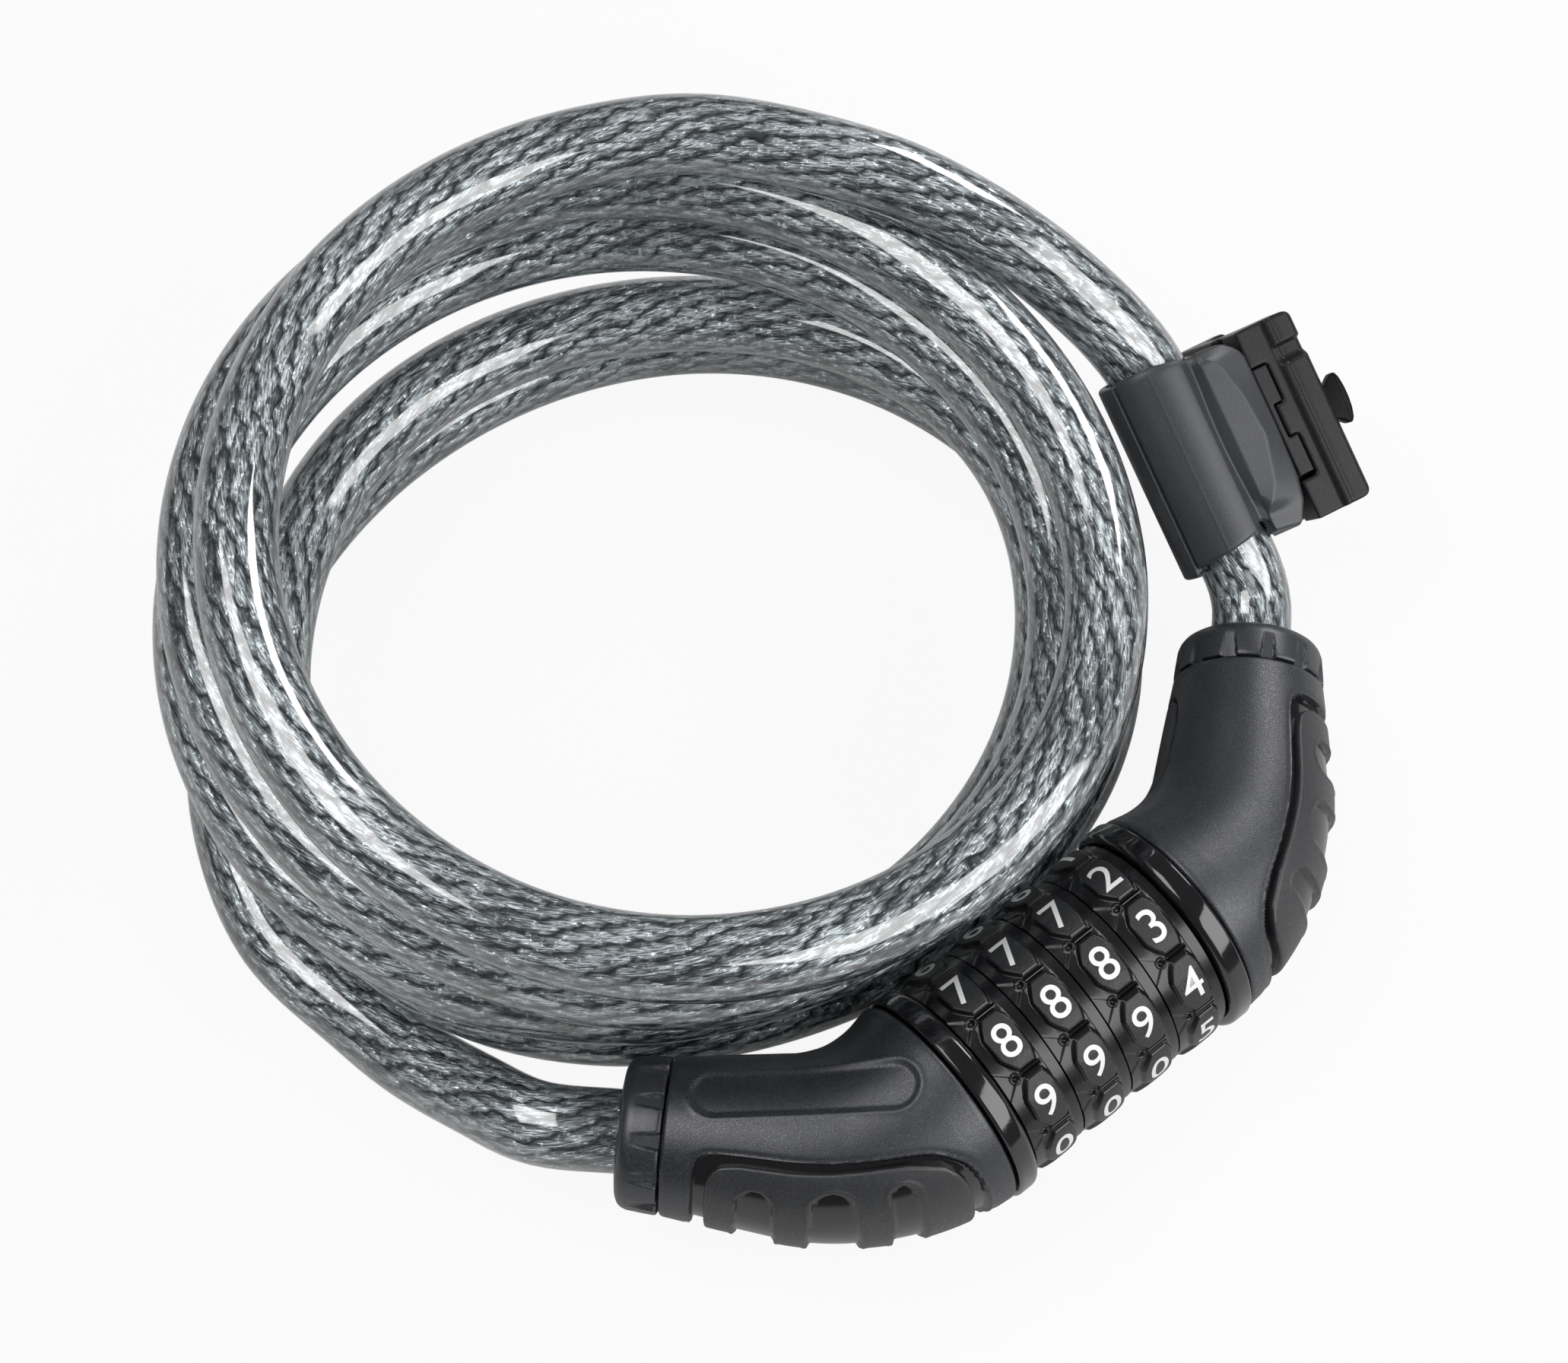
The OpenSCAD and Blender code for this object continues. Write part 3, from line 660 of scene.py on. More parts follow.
# a twelfth of what is seen stays the lit sheet, which shows the shadows
both = t.value("ShaderNodeMixShader", {0: seen * 0.92, 1: lit, 2: glow})
t.put(both, t.tree.nodes["Material Output"].inputs["Surface"])
floor.data.materials.append(t.material)
print("floor nodes", len(t.tree.nodes))

# %% [markdown]
# Light comes from an even grey surround and three soft boxes. The large one
# overhead lights the dials and the rope, the one at the front draws the long
# white streaks on the far loops, and a small one at the right draws those on
# the near side. They are kept low, so that white digits don't burn out. The
# surround is white for the camera alone, so the floor has no edge behind it.

# %% Light
MIDDLE = (0.0, 0.06, 0.02)


def soft_box(name, at, width, height, power):
    """A soft box that looks at the middle of the lock."""
    lamp = bpy.data.lights.new(name, "AREA")
    lamp.shape = "RECTANGLE"
    lamp.size, lamp.size_y, lamp.energy = width, height, power
    obj = bpy.data.objects.new(name, lamp)
    obj.location = at
    aim = Vector(MIDDLE) - Vector(at)
    obj.rotation_euler = aim.to_track_quat("-Z", "Y").to_euler()
    bpy.context.scene.collection.objects.link(obj)


world = bpy.data.worlds.new("studio")
world.use_nodes = True
sky = world.node_tree.nodes["Background"]
sky.inputs["Color"].default_value = (0.5, 0.5, 0.51, 1)
# the camera alone sees a white sky, so the floor has no grey edge behind it
w = Tree(world.node_tree)
by_camera = w.value("ShaderNodeLightPath", pick="Is Camera Ray")
w.put(by_camera.ranged(0.28, 1.9), sky.inputs["Strength"])
bpy.context.scene.world = world
soft_box("overhead", (-0.40, 0.45, 1.15), 0.9, 0.7, 8)
soft_box("front", (0.30, -0.64, 0.62), 0.95, 0.65, 7.5)
soft_box("right", (0.77, 0.24, 0.62), 0.38, 0.3, 3)
bpy.context.scene.view_settings.view_transform = "Standard"
print("soft boxes", [lamp.name for lamp in bpy.data.lights])

# %% [markdown]
# An elbow housing is a round shell that tapers as it bends through 45 degrees.
# The same rule gives both: a point is named by its length along the middle
# line, the angle round it and its height off the skin, and one side is the
# mirror of the other. The widths say how far the pocket of a grip pad reaches
# to each side of its middle, in degrees, at some lengths along the elbow.

# %% Elbow rule
SIDES = [("socket", 1, "socket_side"), ("plug", -1, "plug")]
SHELL_R = np.array([(0, 16.9), (4, 16.4), (10, 15.4), (16, 14.4), (24, 13.4), (32, 12.4),
                    (SHELL_LEN, 11.2), (56, 10.2)])
OUT_WIDTH = np.array([(3.3, 36), (6, 53), (9, 59.5), (16, 63.5), (24, 64.5), (31, 64.5),
                      (35.6, 63), (36.1, 44)])
IN_WIDTH = np.array([(17, 16), (19, 24), (25, 28), (31, 30), (34.5, 26), (36.5, 16)])
MIDDLE_R = 13.6
MM_PER_DEGREE = np.radians(1) * MIDDLE_R


def on_elbow(s, degrees, off, hand):
    """A point on the elbow's skin; hand is 1 for the socket and -1 for the plug."""
    s, a = np.asarray(s, float), np.radians(degrees)
    turn = np.clip(s - LEAD_IN, 0, BEND_R * BEND) / BEND_R
    rest = np.maximum(s - LEAD_IN - BEND_R * BEND, 0)
    r = np.interp(s, *SHELL_R.T) + off
    x = (FACE_X + np.minimum(s, LEAD_IN) + BEND_R * np.sin(turn) + rest * math.cos(BEND)
         + r * np.cos(a) * np.sin(turn))
    y = (BARREL_Y + BEND_R * (1 - np.cos(turn)) + rest * math.sin(BEND)
         - r * np.cos(a) * np.cos(turn))
    return np.stack([hand * x, y, AXIS_Z + r * np.sin(a)], axis=-1)


def outline(widths, middle):
    """A pad's closed outline as points (length, degrees)."""
    one = [(s, middle + w) for s, w in widths]
    other = [(s, middle - w) for s, w in widths[::-1]]
    return np.array(one + other, float)


def cut_corners(line, passes=3):
    """The same closed outline with its corners rounded."""
    for _ in range(passes):
        after = np.roll(line, -1, axis=0)
        pairs = np.stack([0.75 * line + 0.25 * after, 0.25 * line + 0.75 * after], axis=1)
        line = pairs.reshape(-1, 2)
    return line


def edge_distance(s, degrees, line, middle):
    """Millimetres inside (+) or outside (-) a pad's outline on the skin."""
    p = np.stack([s, (degrees - middle) * MM_PER_DEGREE], axis=-1)
    q = np.stack([line[:, 0], (line[:, 1] - middle) * MM_PER_DEGREE], axis=-1)
    best = np.full(p.shape[:-1], 1e9)
    inside = np.zeros(p.shape[:-1], bool)
    for a, b in zip(q, np.roll(q, -1, axis=0)):
        ab = b - a
        t = np.clip(((p - a) @ ab) / max(float(ab @ ab), 1e-9), 0, 1)
        best = np.minimum(best, np.linalg.norm(p - a - t[..., None] * ab, axis=-1))
        if a[1] != b[1]:
            crossed = (a[1] > p[..., 1]) != (b[1] > p[..., 1])
            at = a[0] + (p[..., 1] - a[1]) / ab[1] * ab[0]
            inside ^= crossed & (p[..., 0] < at)
    return np.where(inside, best, -best)


print("radius at the shell's ends", SHELL_R[0, 1], SHELL_R[-2, 1])

# %% [markdown]
# The shell is laid out as a fine net of points. Where a grip pad sits, the net
# drops into a groove, and a shallow stadium-shaped panel lies on the plug's
# top. Its edges roll over at both ends, as a moulded part's do.

# %% Housing shells
PANEL_FROM, PANEL_TO, PANEL_HALF = np.array([-48.5, 10.4]), np.array([-29.4, -5.1]), 3.9
OUT_POCKET, IN_POCKET, PANEL_DEPTH = 1.3, 0.9, 0.5
START_ROLL, END_ROLL = 0.6, 0.45


def panel_distance(points):
    """Millimetres inside (+) the bare panel on the plug's top, seen from above."""
    past, whole = points[..., :2] - PANEL_FROM, PANEL_TO - PANEL_FROM
    t = np.clip((past @ whole) / float(whole @ whole), 0, 1)
    flat = PANEL_HALF - np.linalg.norm(past - t[..., None] * whole, axis=-1)
    return np.where(points[..., 2] > AXIS_Z, flat, -9.0)


def mark(obj, name, values):
    """Stores a value from 0 to 1 for each point, and 0 for the points left over."""
    stored = np.zeros(len(obj.data.vertices), np.float32)
    stored[:values.size] = values.ravel()
    obj.data.attributes.new(name, "FLOAT", "POINT").data.foreach_set("value", stored)


def housing(name, hand):
    """A shell with a groove for each pad, and the bare panel on the plug's."""
    s = np.concatenate([[0, 0.15, 0.35, 0.6, 0.9], np.arange(1.15, SHELL_LEN - 0.9, 0.25),
                        [SHELL_LEN - 0.6, SHELL_LEN - 0.35, SHELL_LEN - 0.12, SHELL_LEN]])
    ss, aa = np.meshgrid(s, np.linspace(0, 360, 420, endpoint=False), indexing="ij")
    signed = (aa + 180) % 360 - 180
    out_d = edge_distance(ss, signed, cut_corners(outline(OUT_WIDTH, 0)), 0)
    in_d = edge_distance(ss, aa, cut_corners(outline(IN_WIDTH, 180)), 180)
    off = -OUT_POCKET * smooth_step(out_d / 0.35 + 0.5) - IN_POCKET * smooth_step(in_d / 0.3 + 0.5)
    # a fine dip runs just outside the outer pocket, and a low rim round the panel
    off -= 0.12 * hump((out_d + 0.5) / 0.35)
    if hand < 0:
        panel = panel_distance(on_elbow(ss, aa, 0, hand))
        off -= PANEL_DEPTH * smooth_step(panel / 1.1) - 0.1 * hump((panel + 0.1) / 0.35)
    off -= START_ROLL * rolled_edge(ss / 0.9)
    off -= END_ROLL * rolled_edge((SHELL_LEN - ss) / 0.6)
    made = skin(name, on_elbow(ss, aa, off, hand), 50)
    # the groove's floor is marked: smooth, high gloss, and painted near black as painted shade
    groove = smooth_step((out_d + 0.1) / 0.5) + smooth_step((in_d + 0.1) / 0.5)
    mark(made, "groove", groove)
    return made


def grooved_plastic(name, dark, light, rough, grain_size, grain_depth):
    """Grained plastic. Where "groove" is 1 it is smooth and of high gloss, and painted near black
    as painted shade in the recess.
    """
    t = Finish(name, Specular_IOR_Level=0.85)
    height, fleck = t.shared(GRAIN, Scale=1000.0 / grain_size)
    soft, = t.shared(HAZE, Amount=0.5)
    groove = t.value("ShaderNodeAttribute", pick="Fac", attribute_name="groove")
    # painted shade: the grooves and scoop floors go near black, as shade in the recess
    t.feed(Base_Color=groove.mixed(fleck.mixed(dark, light), (0.004, 0.004, 0.005)))
    gloss = soft.ranged(rough - 0.05, rough + 0.07)
    # the grain's tops are glossier than its hollows, which makes the sheen sparkle
    sparkle = (0.5 - height) * 0.9
    t.feed(Roughness=(gloss + sparkle) * groove.ranged(1.0, 0.3))
    t.bump(height * groove.ranged(1.0, 0.05), grain_depth * MM)
    return t.material


housing_finish = grooved_plastic("charcoal_plastic", (0.012, 0.0135, 0.0175), (0.08, 0.09, 0.11),
                                 0.4, 0.17, 0.04)
for side, hand, body in SIDES:
    made = housing(f"{side}_shell", hand)
    fit(made, f"{side}_housing", body, housing_finish)
print("shell faces", len(made.data.polygons))

# %% [markdown]
# Each outer grip pad fills its pocket to the level of the shell, with a groove
# left round it, and three arched scoops for the fingers. The inner pad is a
# small plain one on the inside of the bend.

# %% Grip pads
PAD_OUT = np.array([(4.8, 30), (5.4, 40), (6.4, 47), (8, 51), (10, 55), (12.5, 57), (16, 58),
                    (20.5, 58.5), (29.4, 58.5), (31, 57.5), (32.4, 56), (33.6, 50), (34.2, 42)])
PAD_IN = np.array([(17.5, 14), (19, 22), (25, 26), (31, 28), (34.5, 24), (36, 14)])
# each scoop's middle and half width in millimetres, and its reach in degrees
SCOOPS = [(11.1, 1.2, 45), (18.2, 2.1, 46), (27.1, 2.4, 43)]
ROLL, SCOOP_DEPTH = 0.45, 0.8


def pad(name, widths, middle, hand, scoops, depth):
    """A closed pad: a top level with the shell, rolled edges and an underside."""
    first, last, close = widths[0, 0], widths[-1, 0], np.array([0, 0.08, 0.2, 0.4])
    rows = np.concatenate([first + close, np.arange(first + 0.7, last - 0.6, 0.3),
                           last - close[::-1]])
    v = np.linspace(-1, 1, 121)
    v = np.sign(v) * (1 - (1 - np.abs(v)) ** 1.25)
    half = np.interp(rows, *widths.T)
    ss = np.repeat(rows[:, None], len(v), axis=1)
    aa = middle + half[:, None] * v
    aside = np.abs(aa - middle)
    inside = np.maximum(edge_distance(ss, aa, outline(widths, middle), middle), 0)
    off = -ROLL * rolled_edge(inside / ROLL)
    gloss_and_shade = np.zeros_like(off)
    for s_mid, half_s, top in scoops:
        half_s = half_s * (1 + 0.25 * np.clip((top - aside) / top, 0, 1))
        past = np.maximum(aside - (top - half_s / MM_PER_DEGREE), 0) * MM_PER_DEGREE
        gone = half_s - np.hypot(ss - s_mid, past)
        # the scoop is sunk, and a low rim runs round it
        off = off - SCOOP_DEPTH * smooth_step(gone / 0.35 + 0.5) + 0.12 * hump((gone + 0.4) / 0.2)
        # the scoop's floor is marked for high gloss and for painted shade
        gloss_and_shade = np.maximum(gloss_and_shade, smooth_step(gone / 0.3))
    top_side = on_elbow(ss, aa, off, hand)
    low_side = on_elbow(ss, aa, -depth, hand)
    made = skin(name, np.concatenate([top_side, low_side[:, ::-1]], axis=1), 55)
    mark(made, "groove", np.concatenate([gloss_and_shade, np.zeros_like(gloss_and_shade)], axis=1))
    return made


grip_finish = grooved_plastic("grip_rubber", (0.015, 0.016, 0.018), (0.06, 0.064, 0.072),
                              0.46, 0.18, 0.035)
for side, hand, body in SIDES:
    outer = pad(f"{side}_outer_pad", PAD_OUT, 0, hand, SCOOPS, 1.35)
    inner = pad(f"{side}_inner_pad", PAD_IN, 180, hand, [], 1.0)
    fit(outer, f"{side}_outer_grip", body, grip_finish)
    fit(inner, f"{side}_inner_grip", body, grip_finish)
print("pad faces", len(outer.data.polygons), len(inner.data.polygons))

# %% [markdown]
# What repeats round an axis is made once and repeated by one Geometry Nodes
# tree: a twelfth of a collar with its flute, and a tenth of a dial with its
# digit face. The tree turns copies about the axis, makes them real, welds the
# seams and sets the finish.

# %% Tree that repeats a slice round an axis
WELD = 0.000004


def round_axis_tree():
    """Copies of a slice, turned about an axis through a centre and welded."""
    tree, t, given = geometry_group("repeat_round_axis", Count=("Int", 12),
                                    Centre=("Vector", (0, 0, 0)), Axis=("Vector", (1, 0, 0)))
    centre, count = given["Centre"], given["Count"]
    back = t.value("ShaderNodeVectorMath", {0: centre, "Scale": -1.0}, operation="SCALE")
    home = t.value("GeometryNodeTransform", {"Geometry": given["Geometry"], "Translation": back})
    angle = t.value("GeometryNodeInputIndex") * (2 * math.pi) / count
    turned = t.value("FunctionNodeAxisAngleToRotation", {"Axis": given["Axis"], "Angle": angle})
    points = t.value("GeometryNodePoints", {"Count": count})
    copies = t.value("GeometryNodeInstanceOnPoints", {"Points": points, "Instance": home,
                                                      "Rotation": turned})
    real = t.value("GeometryNodeRealizeInstances", {"Geometry": copies})
    placed = t.value("GeometryNodeTransform", {"Geometry": real, "Translation": centre})
    dressed(t, given, t.value("GeometryNodeMergeByDistance", {"Geometry": placed,
                                                              "Distance": WELD}))
    return tree


ROUND_AXIS = round_axis_tree()
print("nodes in the tree", len(ROUND_AXIS.nodes))

# %% [markdown]
# A collar nut closes each housing where the cable comes out. Its flutes are
# deepest beside the housing and run out towards the cable.

# %% Collars
COLLAR_PROFILE = [(6.1, 0.0), (10.9, 0.0), (11.1, 0.1), (11.2, 0.35), (11.2, 0.7), (11.1, 2.0),
                  (10.95, 3.4), (10.85, 4.4), (10.6, 5.1), (10.3, 5.55), (9.9, 5.85),
                  (9.3, 6.1), (8.6, 6.2), (6.9, 6.2), (6.4, 6.05), (6.1, 5.7)]
FLUTES, FLUTED_R, FIRST_FLUTE = 12, 11.0, 8


def collar(name, hand, finish):
    """A fluted nut, from one slice of its profile (radius, length)."""
    side = np.array([hand, 1, 1])
    start, axis = MOUTH * side - COLLAR_LEN * NECK * side, NECK * side
    up = np.array([0, 0, 1.0])
    out = np.cross(up, axis)
    profile = []
    for (r0, z0), (r1, z1) in zip(COLLAR_PROFILE, COLLAR_PROFILE[1:]):
        n = max(1, int(math.hypot(r1 - r0, z1 - z0) / 0.4))
        profile += [(r0 + (r1 - r0) * k / n, z0 + (z1 - z0) * k / n) for k in range(n)]
    profile.append(COLLAR_PROFILE[-1])
    angles = np.linspace(-180 / FLUTES, 180 / FLUTES, 31)
    aside = np.abs(np.radians(angles)) * FLUTED_R
    a = np.radians(angles + FIRST_FLUTE)[:, None]
    rings = []
    for r, z in profile:
        # a flute grows shallower and narrower towards the cable
        floor_r = 10.3 + 0.7 * (z + 1) / 6
        deep = max(r - floor_r, 0) if r > 9 else 0
        rr = r - deep * smooth_step((1.35 - 0.11 * z - aside) / 0.4)
        rings.append(start + axis * z + rr[:, None] * (np.cos(a) * out + np.sin(a) * up))
    faces = grid_faces(len(profile), len(angles), around=False, closed=True)
    made = shape(name, np.array(rings).reshape(-1, 3), faces)
    made = run_nodes(made, ROUND_AXIS, Count=FLUTES, Centre=tuple(start * MM),
                     Axis=tuple(axis), Finish=finish)
    return finished(made, 40)


collar_finish = plastic("collar_plastic", (0.017, 0.0185, 0.0225), (0.08, 0.088, 0.105), 0.38,
                        0.18, 0.02, Specular_IOR_Level=0.8)
for side, hand, body in SIDES:
    made = collar(f"{side}_collar_nut", hand, collar_finish)
    fit(made, f"{side}_collar", body)
print("collar faces", len(made.data.polygons))

# %% [markdown]
# Two rings close the stack of dials. They are turned shapes in gloss black, so
# each is a profile swept round the barrel's axis in many small steps, with its
# edges rolled: the reflections of the soft boxes show every facet otherwise.


# %% Rings
def round_barrel(x, r, angle):
    """Points at a radius and an angle round the barrel, with 0 at its top."""
    y, z = BARREL_Y - r * np.sin(angle), AXIS_Z + r * np.cos(angle)
    return np.stack(np.broadcast_arrays(x, y, z), axis=-1)


def turned_ring(name, profile, sides=240):
    """A closed ring: a closed profile of (x, radius) swept round the barrel."""
    x, r = np.array(profile).T[..., None]
    return band(name, round_barrel(x, r, np.linspace(0, 2 * math.pi, sides, endpoint=False)), 40)


def rolled(x0, x1, r, bore, near, far, steps=5):
    """A ring's profile with a rolled corner at each end of its rim."""
    points = [(x0, bore), (x0, r - near)]
    for k in range(1, steps + 1):
        t = math.pi / 2 * k / steps
        points.append((x0 + near * (1 - math.cos(t)), r - near * (1 - math.sin(t))))
    for k in range(0, steps + 1):
        t = math.pi / 2 * k / steps
        points.append((x1 - far * (1 - math.sin(t)), r - far * (1 - math.cos(t))))
    return points + [(x1, bore)]


RING_X, RING_R, RING_BORE, WIDE_ROLL, SMALL_ROLL = 18.3, 17.25, 4.8, 1.2, 0.5
t = Finish("gloss_black", Base_Color=(0.006, 0.006, 0.007, 1), Coat_Weight=0.6,
           Coat_Roughness=0.04)
soft, = t.shared(HAZE, Scale=220.0)
t.feed(Roughness=soft.ranged(0.08, 0.22))
t.bump(soft, 0.00003)
socket_band = turned_ring("socket_band", rolled(RING_X, HOUSE_X, RING_R, RING_BORE,
                                                WIDE_ROLL, SMALL_ROLL))
plug_band = turned_ring("plug_band", rolled(-HOUSE_X, -RING_X, RING_R, RING_BORE,
                                            SMALL_ROLL, WIDE_ROLL))
fit(socket_band, "socket_ring", "socket_side", t.material)
fit(plug_band, "plug_side_ring", "socket_side", t.material)
print("ring faces", len(plug_band.data.polygons))

# %% [markdown]
# A dial carries ten raised digit faces. Between two of them lies a thin stepped
# rib, and a notch opens towards one edge from a small round dimple. One tenth
# is a net of heights over the drum, and the tree above repeats it ten times.
# An attribute marks the top of each face, which has a fine leathery grain and is painted a little
# lighter than the gloss black round it, as painted sheen.

# %% Dials
DIAL_R, BODY_R, DIAL_W, DIAL_PITCH, HOLE_R = 16.6, 15.9, 8.7, 9.0, 9.6
FACE_FROM, FACE_TO, DIMPLE_AT = 1.45, 7.3, 2.35
NUMBERS, LEAN = 10, 9.0
SLICE = 360 / NUMBERS
EDGE = np.array([(0, 14.35), (0.25, 14.8), (0.7, 15.15), (1.3, 15.4), (2.0, 15.65), (3.0, 15.8),
                 (7.0, 15.8), (7.3, 15.55), (7.45, 15.4), (7.6, 15.5), (7.85, 15.68),
                 (8.15, 15.66), (8.4, 15.4), (8.6, 15.0), (8.7, 14.6)])


def dial_height(x, degrees):
    """Radius and face mask on a tenth of a dial, with degrees from its middle."""
    r = np.interp(x, *EDGE.T)
    away = np.radians(np.abs(degrees)) * DIAL_R
    between = np.radians(SLICE / 2 - np.abs(degrees)) * DIAL_R
    # the face is a long hexagon: its sides draw in towards its two ends
    pinch = np.clip((away - 1.7) / 2.9, 0, 1)
    low, high = FACE_FROM + 1.8 * pinch ** 1.2, FACE_TO - 0.75 * pinch ** 1.5
    inside = np.minimum(np.minimum(x - low, high - x), between - 0.42)
    face = smooth_step(inside / 0.55)
    r = r + (DIAL_R - r) * face + 0.06 * smooth_step(inside / 2.4)
    # a step runs round the face's foot, and a rib fills the space between two
    step = smooth_step((inside + 0.75) / 0.3) * (1 - face)
    r = r + 0.22 * step
    rib = smooth_step((0.16 - np.abs(between - 0.2)) / 0.1)
    rib = rib * smooth_step((1.9 - np.abs(x - 5.0)) / 0.2)
    r = np.maximum(r, BODY_R + 0.5 * rib)
    # a web opens from the dimple towards the plug's edge of the drum
    web = smooth_step((0.35 + (2.6 - x) * 0.9 - between) / 0.7) * smooth_step((2.8 - x) / 0.7)
    dimple = np.hypot(x - DIMPLE_AT, between)
    r = r - 0.15 * web - 0.4 * smooth_step((0.45 - dimple) / 0.2)
    r = r + 0.14 * hump((dimple - 0.68) / 0.16)
    return r, smooth_step((inside - 0.5) / 0.3)


def dial(name, x0, finish):
    """A dial from one net of heights, shut by its two sides and its bore."""
    x = np.concatenate([np.linspace(0, 3.4, 26), np.linspace(3.55, 6.4, 17),
                        np.linspace(6.5, DIAL_W, 20)])
    xx, aa = np.meshgrid(x, np.linspace(-SLICE / 2, SLICE / 2, 73), indexing="ij")
    r, face_top = dial_height(xx, aa)
    bore, none = np.full_like(r[:1], HOLE_R), np.zeros_like(r[:1])
    r = np.concatenate([bore, r, bore])
    x = np.concatenate([xx[:1], xx, xx[-1:]])
    angle = np.radians(np.concatenate([aa[:1], aa, aa[-1:]]) + LEAN)
    faces = grid_faces(*r.shape, around=False, closed=True)
    made = shape(name, round_barrel(x0 + x, r, angle).reshape(-1, 3), faces)
    mark(made, "face_top", np.concatenate([none, face_top, none]))
    made = run_nodes(made, ROUND_AXIS, Count=NUMBERS, Centre=(0, BARREL_Y * MM, AXIS_Z * MM),
                     Axis=(1, 0, 0), Finish=finish)
    return finished(made, 45)


t = Finish("dial_plastic", Coat_Weight=0.15, Coat_Roughness=0.1)
top = t.value("ShaderNodeAttribute", pick="Fac", attribute_name="face_top")
leather, _ = t.shared(GRAIN, Scale=3400.0)
soft, = t.shared(HAZE, Scale=150.0)
# painted sheen: the face tops are painted lighter than the gloss black between them
t.feed(Base_Color=top.mixed((0.004, 0.004, 0.005), (0.014, 0.0145, 0.016)),
       Roughness=top.ranged(0.24, 0.42) + soft.ranged(0.0, 0.08))
t.bump(leather * top.ranged(0.06, 1.0), 0.00013)
for k in range(1, 5):
    made = dial(f"dial_{k}_drum", (k - 2.5) * DIAL_PITCH - DIAL_W / 2, t.material)
    fit(made, f"dial_{k}", f"dial_{k}")
print("dial faces", len(made.data.polygons))

# %% [markdown]
# The digits are printed in bold white. Each is a text curve made a mesh, cut
# into narrow strips so that it can follow the drum, and bent on to its face.
# They read along the barrel, with their feet towards the outside of the lock.

# %% Digits
DIGIT_H, DIGIT_THICK, DIGIT_FOOT, DIGIT_ASIDE = 5.1, 0.12, -0.04, 0.15
SHOWING = {1: 8, 2: 8, 3: 8, 4: 3}


def digit_strips(character):
    """A digit as a thin solid, DIGIT_H high and cut across, in millimetres."""
    text = bpy.data.curves.new("digit", "FONT")
    text.body, text.offset, text.extrude = character, 0.002, 0.02
    text.resolution_u = 6
    obj = bpy.data.objects.new("digit", text)
    bpy.context.scene.collection.objects.link(obj)
    graph = bpy.context.evaluated_depsgraph_get()
    mesh = bpy.data.meshes.new_from_object(obj.evaluated_get(graph))
    bpy.data.objects.remove(obj)
    work = bmesh.new()
    work.from_mesh(mesh)
    bmesh.ops.remove_doubles(work, verts=work.verts, dist=1e-5)
    low = Vector((min(v.co[j] for v in work.verts) for j in range(3)))
    high = Vector((max(v.co[j] for v in work.verts) for j in range(3)))
    factor = DIGIT_H / (high.y - low.y)
    for v in work.verts:
        v.co.x = (v.co.x - (low.x + high.x) / 2) * factor
        v.co.y = (v.co.y - (low.y + high.y) / 2) * factor
        v.co.z = DIGIT_THICK * (v.co.z - low.z) / (high.z - low.z)
    for cut in np.arange(-DIGIT_H / 2 + 0.4, DIGIT_H / 2 - 0.2, 0.4):
        bmesh.ops.bisect_plane(work, geom=work.verts[:] + work.edges[:] + work.faces[:],
                               plane_co=(0, cut, 0), plane_no=(0, 1, 0))
    bmesh.ops.recalc_face_normals(work, faces=work.faces)
    work.verts.index_update()
    points = np.array([v.co[:] for v in work.verts])
    faces = [[v.index for v in f.verts] for f in work.faces]
    work.free()
    bpy.data.meshes.remove(mesh)
    return points, faces


strips = [digit_strips(str(d)) for d in range(NUMBERS)]
print("digit widths", [round(float(np.ptp(p[:, 0])), 2) for p, f in strips])
t = Finish("printed_white", Roughness=0.45)
chalk, _ = t.shared(GRAIN, Scale=2600.0)
t.feed(Base_Color=chalk.mixed((0.78, 0.78, 0.77), (0.9, 0.9, 0.9)))
t.bump(chalk, 0.00002)
for k, shown in SHOWING.items():
    points, faces = [], []
    for d, (flat, flat_faces) in enumerate(strips):
        angle = math.radians(LEAN + SLICE * (d - shown)) - flat[:, 1] / DIAL_R
        x = (k - 2.5) * DIAL_PITCH + DIGIT_ASIDE + flat[:, 0]
        faces += [[i + len(points) for i in f] for f in flat_faces]
        points += round_barrel(x, DIAL_R + DIGIT_FOOT + flat[:, 2], angle).tolist()
    made = shape(f"dial_{k}_digits", points, outwards(points, faces))
    fit(made, None, f"dial_{k}", t.material)
print("faces in a dial's digits", len(made.data.polygons))

# %% [markdown]
# The bracket is moulded in two parts. The clip goes round the cable and has a
# thin lip beside its slit, a seam line along its crown, a valley, a long leaf-
# shaped ridge and a flange with a curved edge. It is drawn as one outline that
# changes along the sleeve. Its own frame has Y along the sleeve and Z up.

# %% Bracket clip
BRACKET_AT = np.array([69.8, 43.2, 28.2])
TILT, TURN = math.radians(26.3), math.radians(-10.4)
CLIP_LEN, SLEEVE_R, BORE_R, CLIP_ROLL = 31, 8.1, 6.9, 0.6
RIDGE_EDGE = np.array([(-12.2, 5.6), (-8.6, 8.1), (-0.8, 10.1), (6.4, 9.4), (12.1, 8.0),
                       (15, 5.6)])
FLANGE_EDGE = np.array([(-16, 9.9), (-14.5, 10.8), (-12.1, 12.1), (-8.2, 12.8), (0, 13.1),
                        (12, 13.1), (13.3, 12.6), (14.6, 11.5), (16, 9.5)])


def at_bracket(points):
    """From the bracket's own frame to the lock's."""
    x, y, z = np.moveaxis(np.asarray(points, float), -1, 0)
    y, z = y * math.cos(TILT) - z * math.sin(TILT), y * math.sin(TILT) + z * math.cos(TILT)
    x, y = x * math.cos(TURN) - y * math.sin(TURN), x * math.sin(TURN) + y * math.cos(TURN)
    return np.stack([x, y, z], axis=-1) + BRACKET_AT


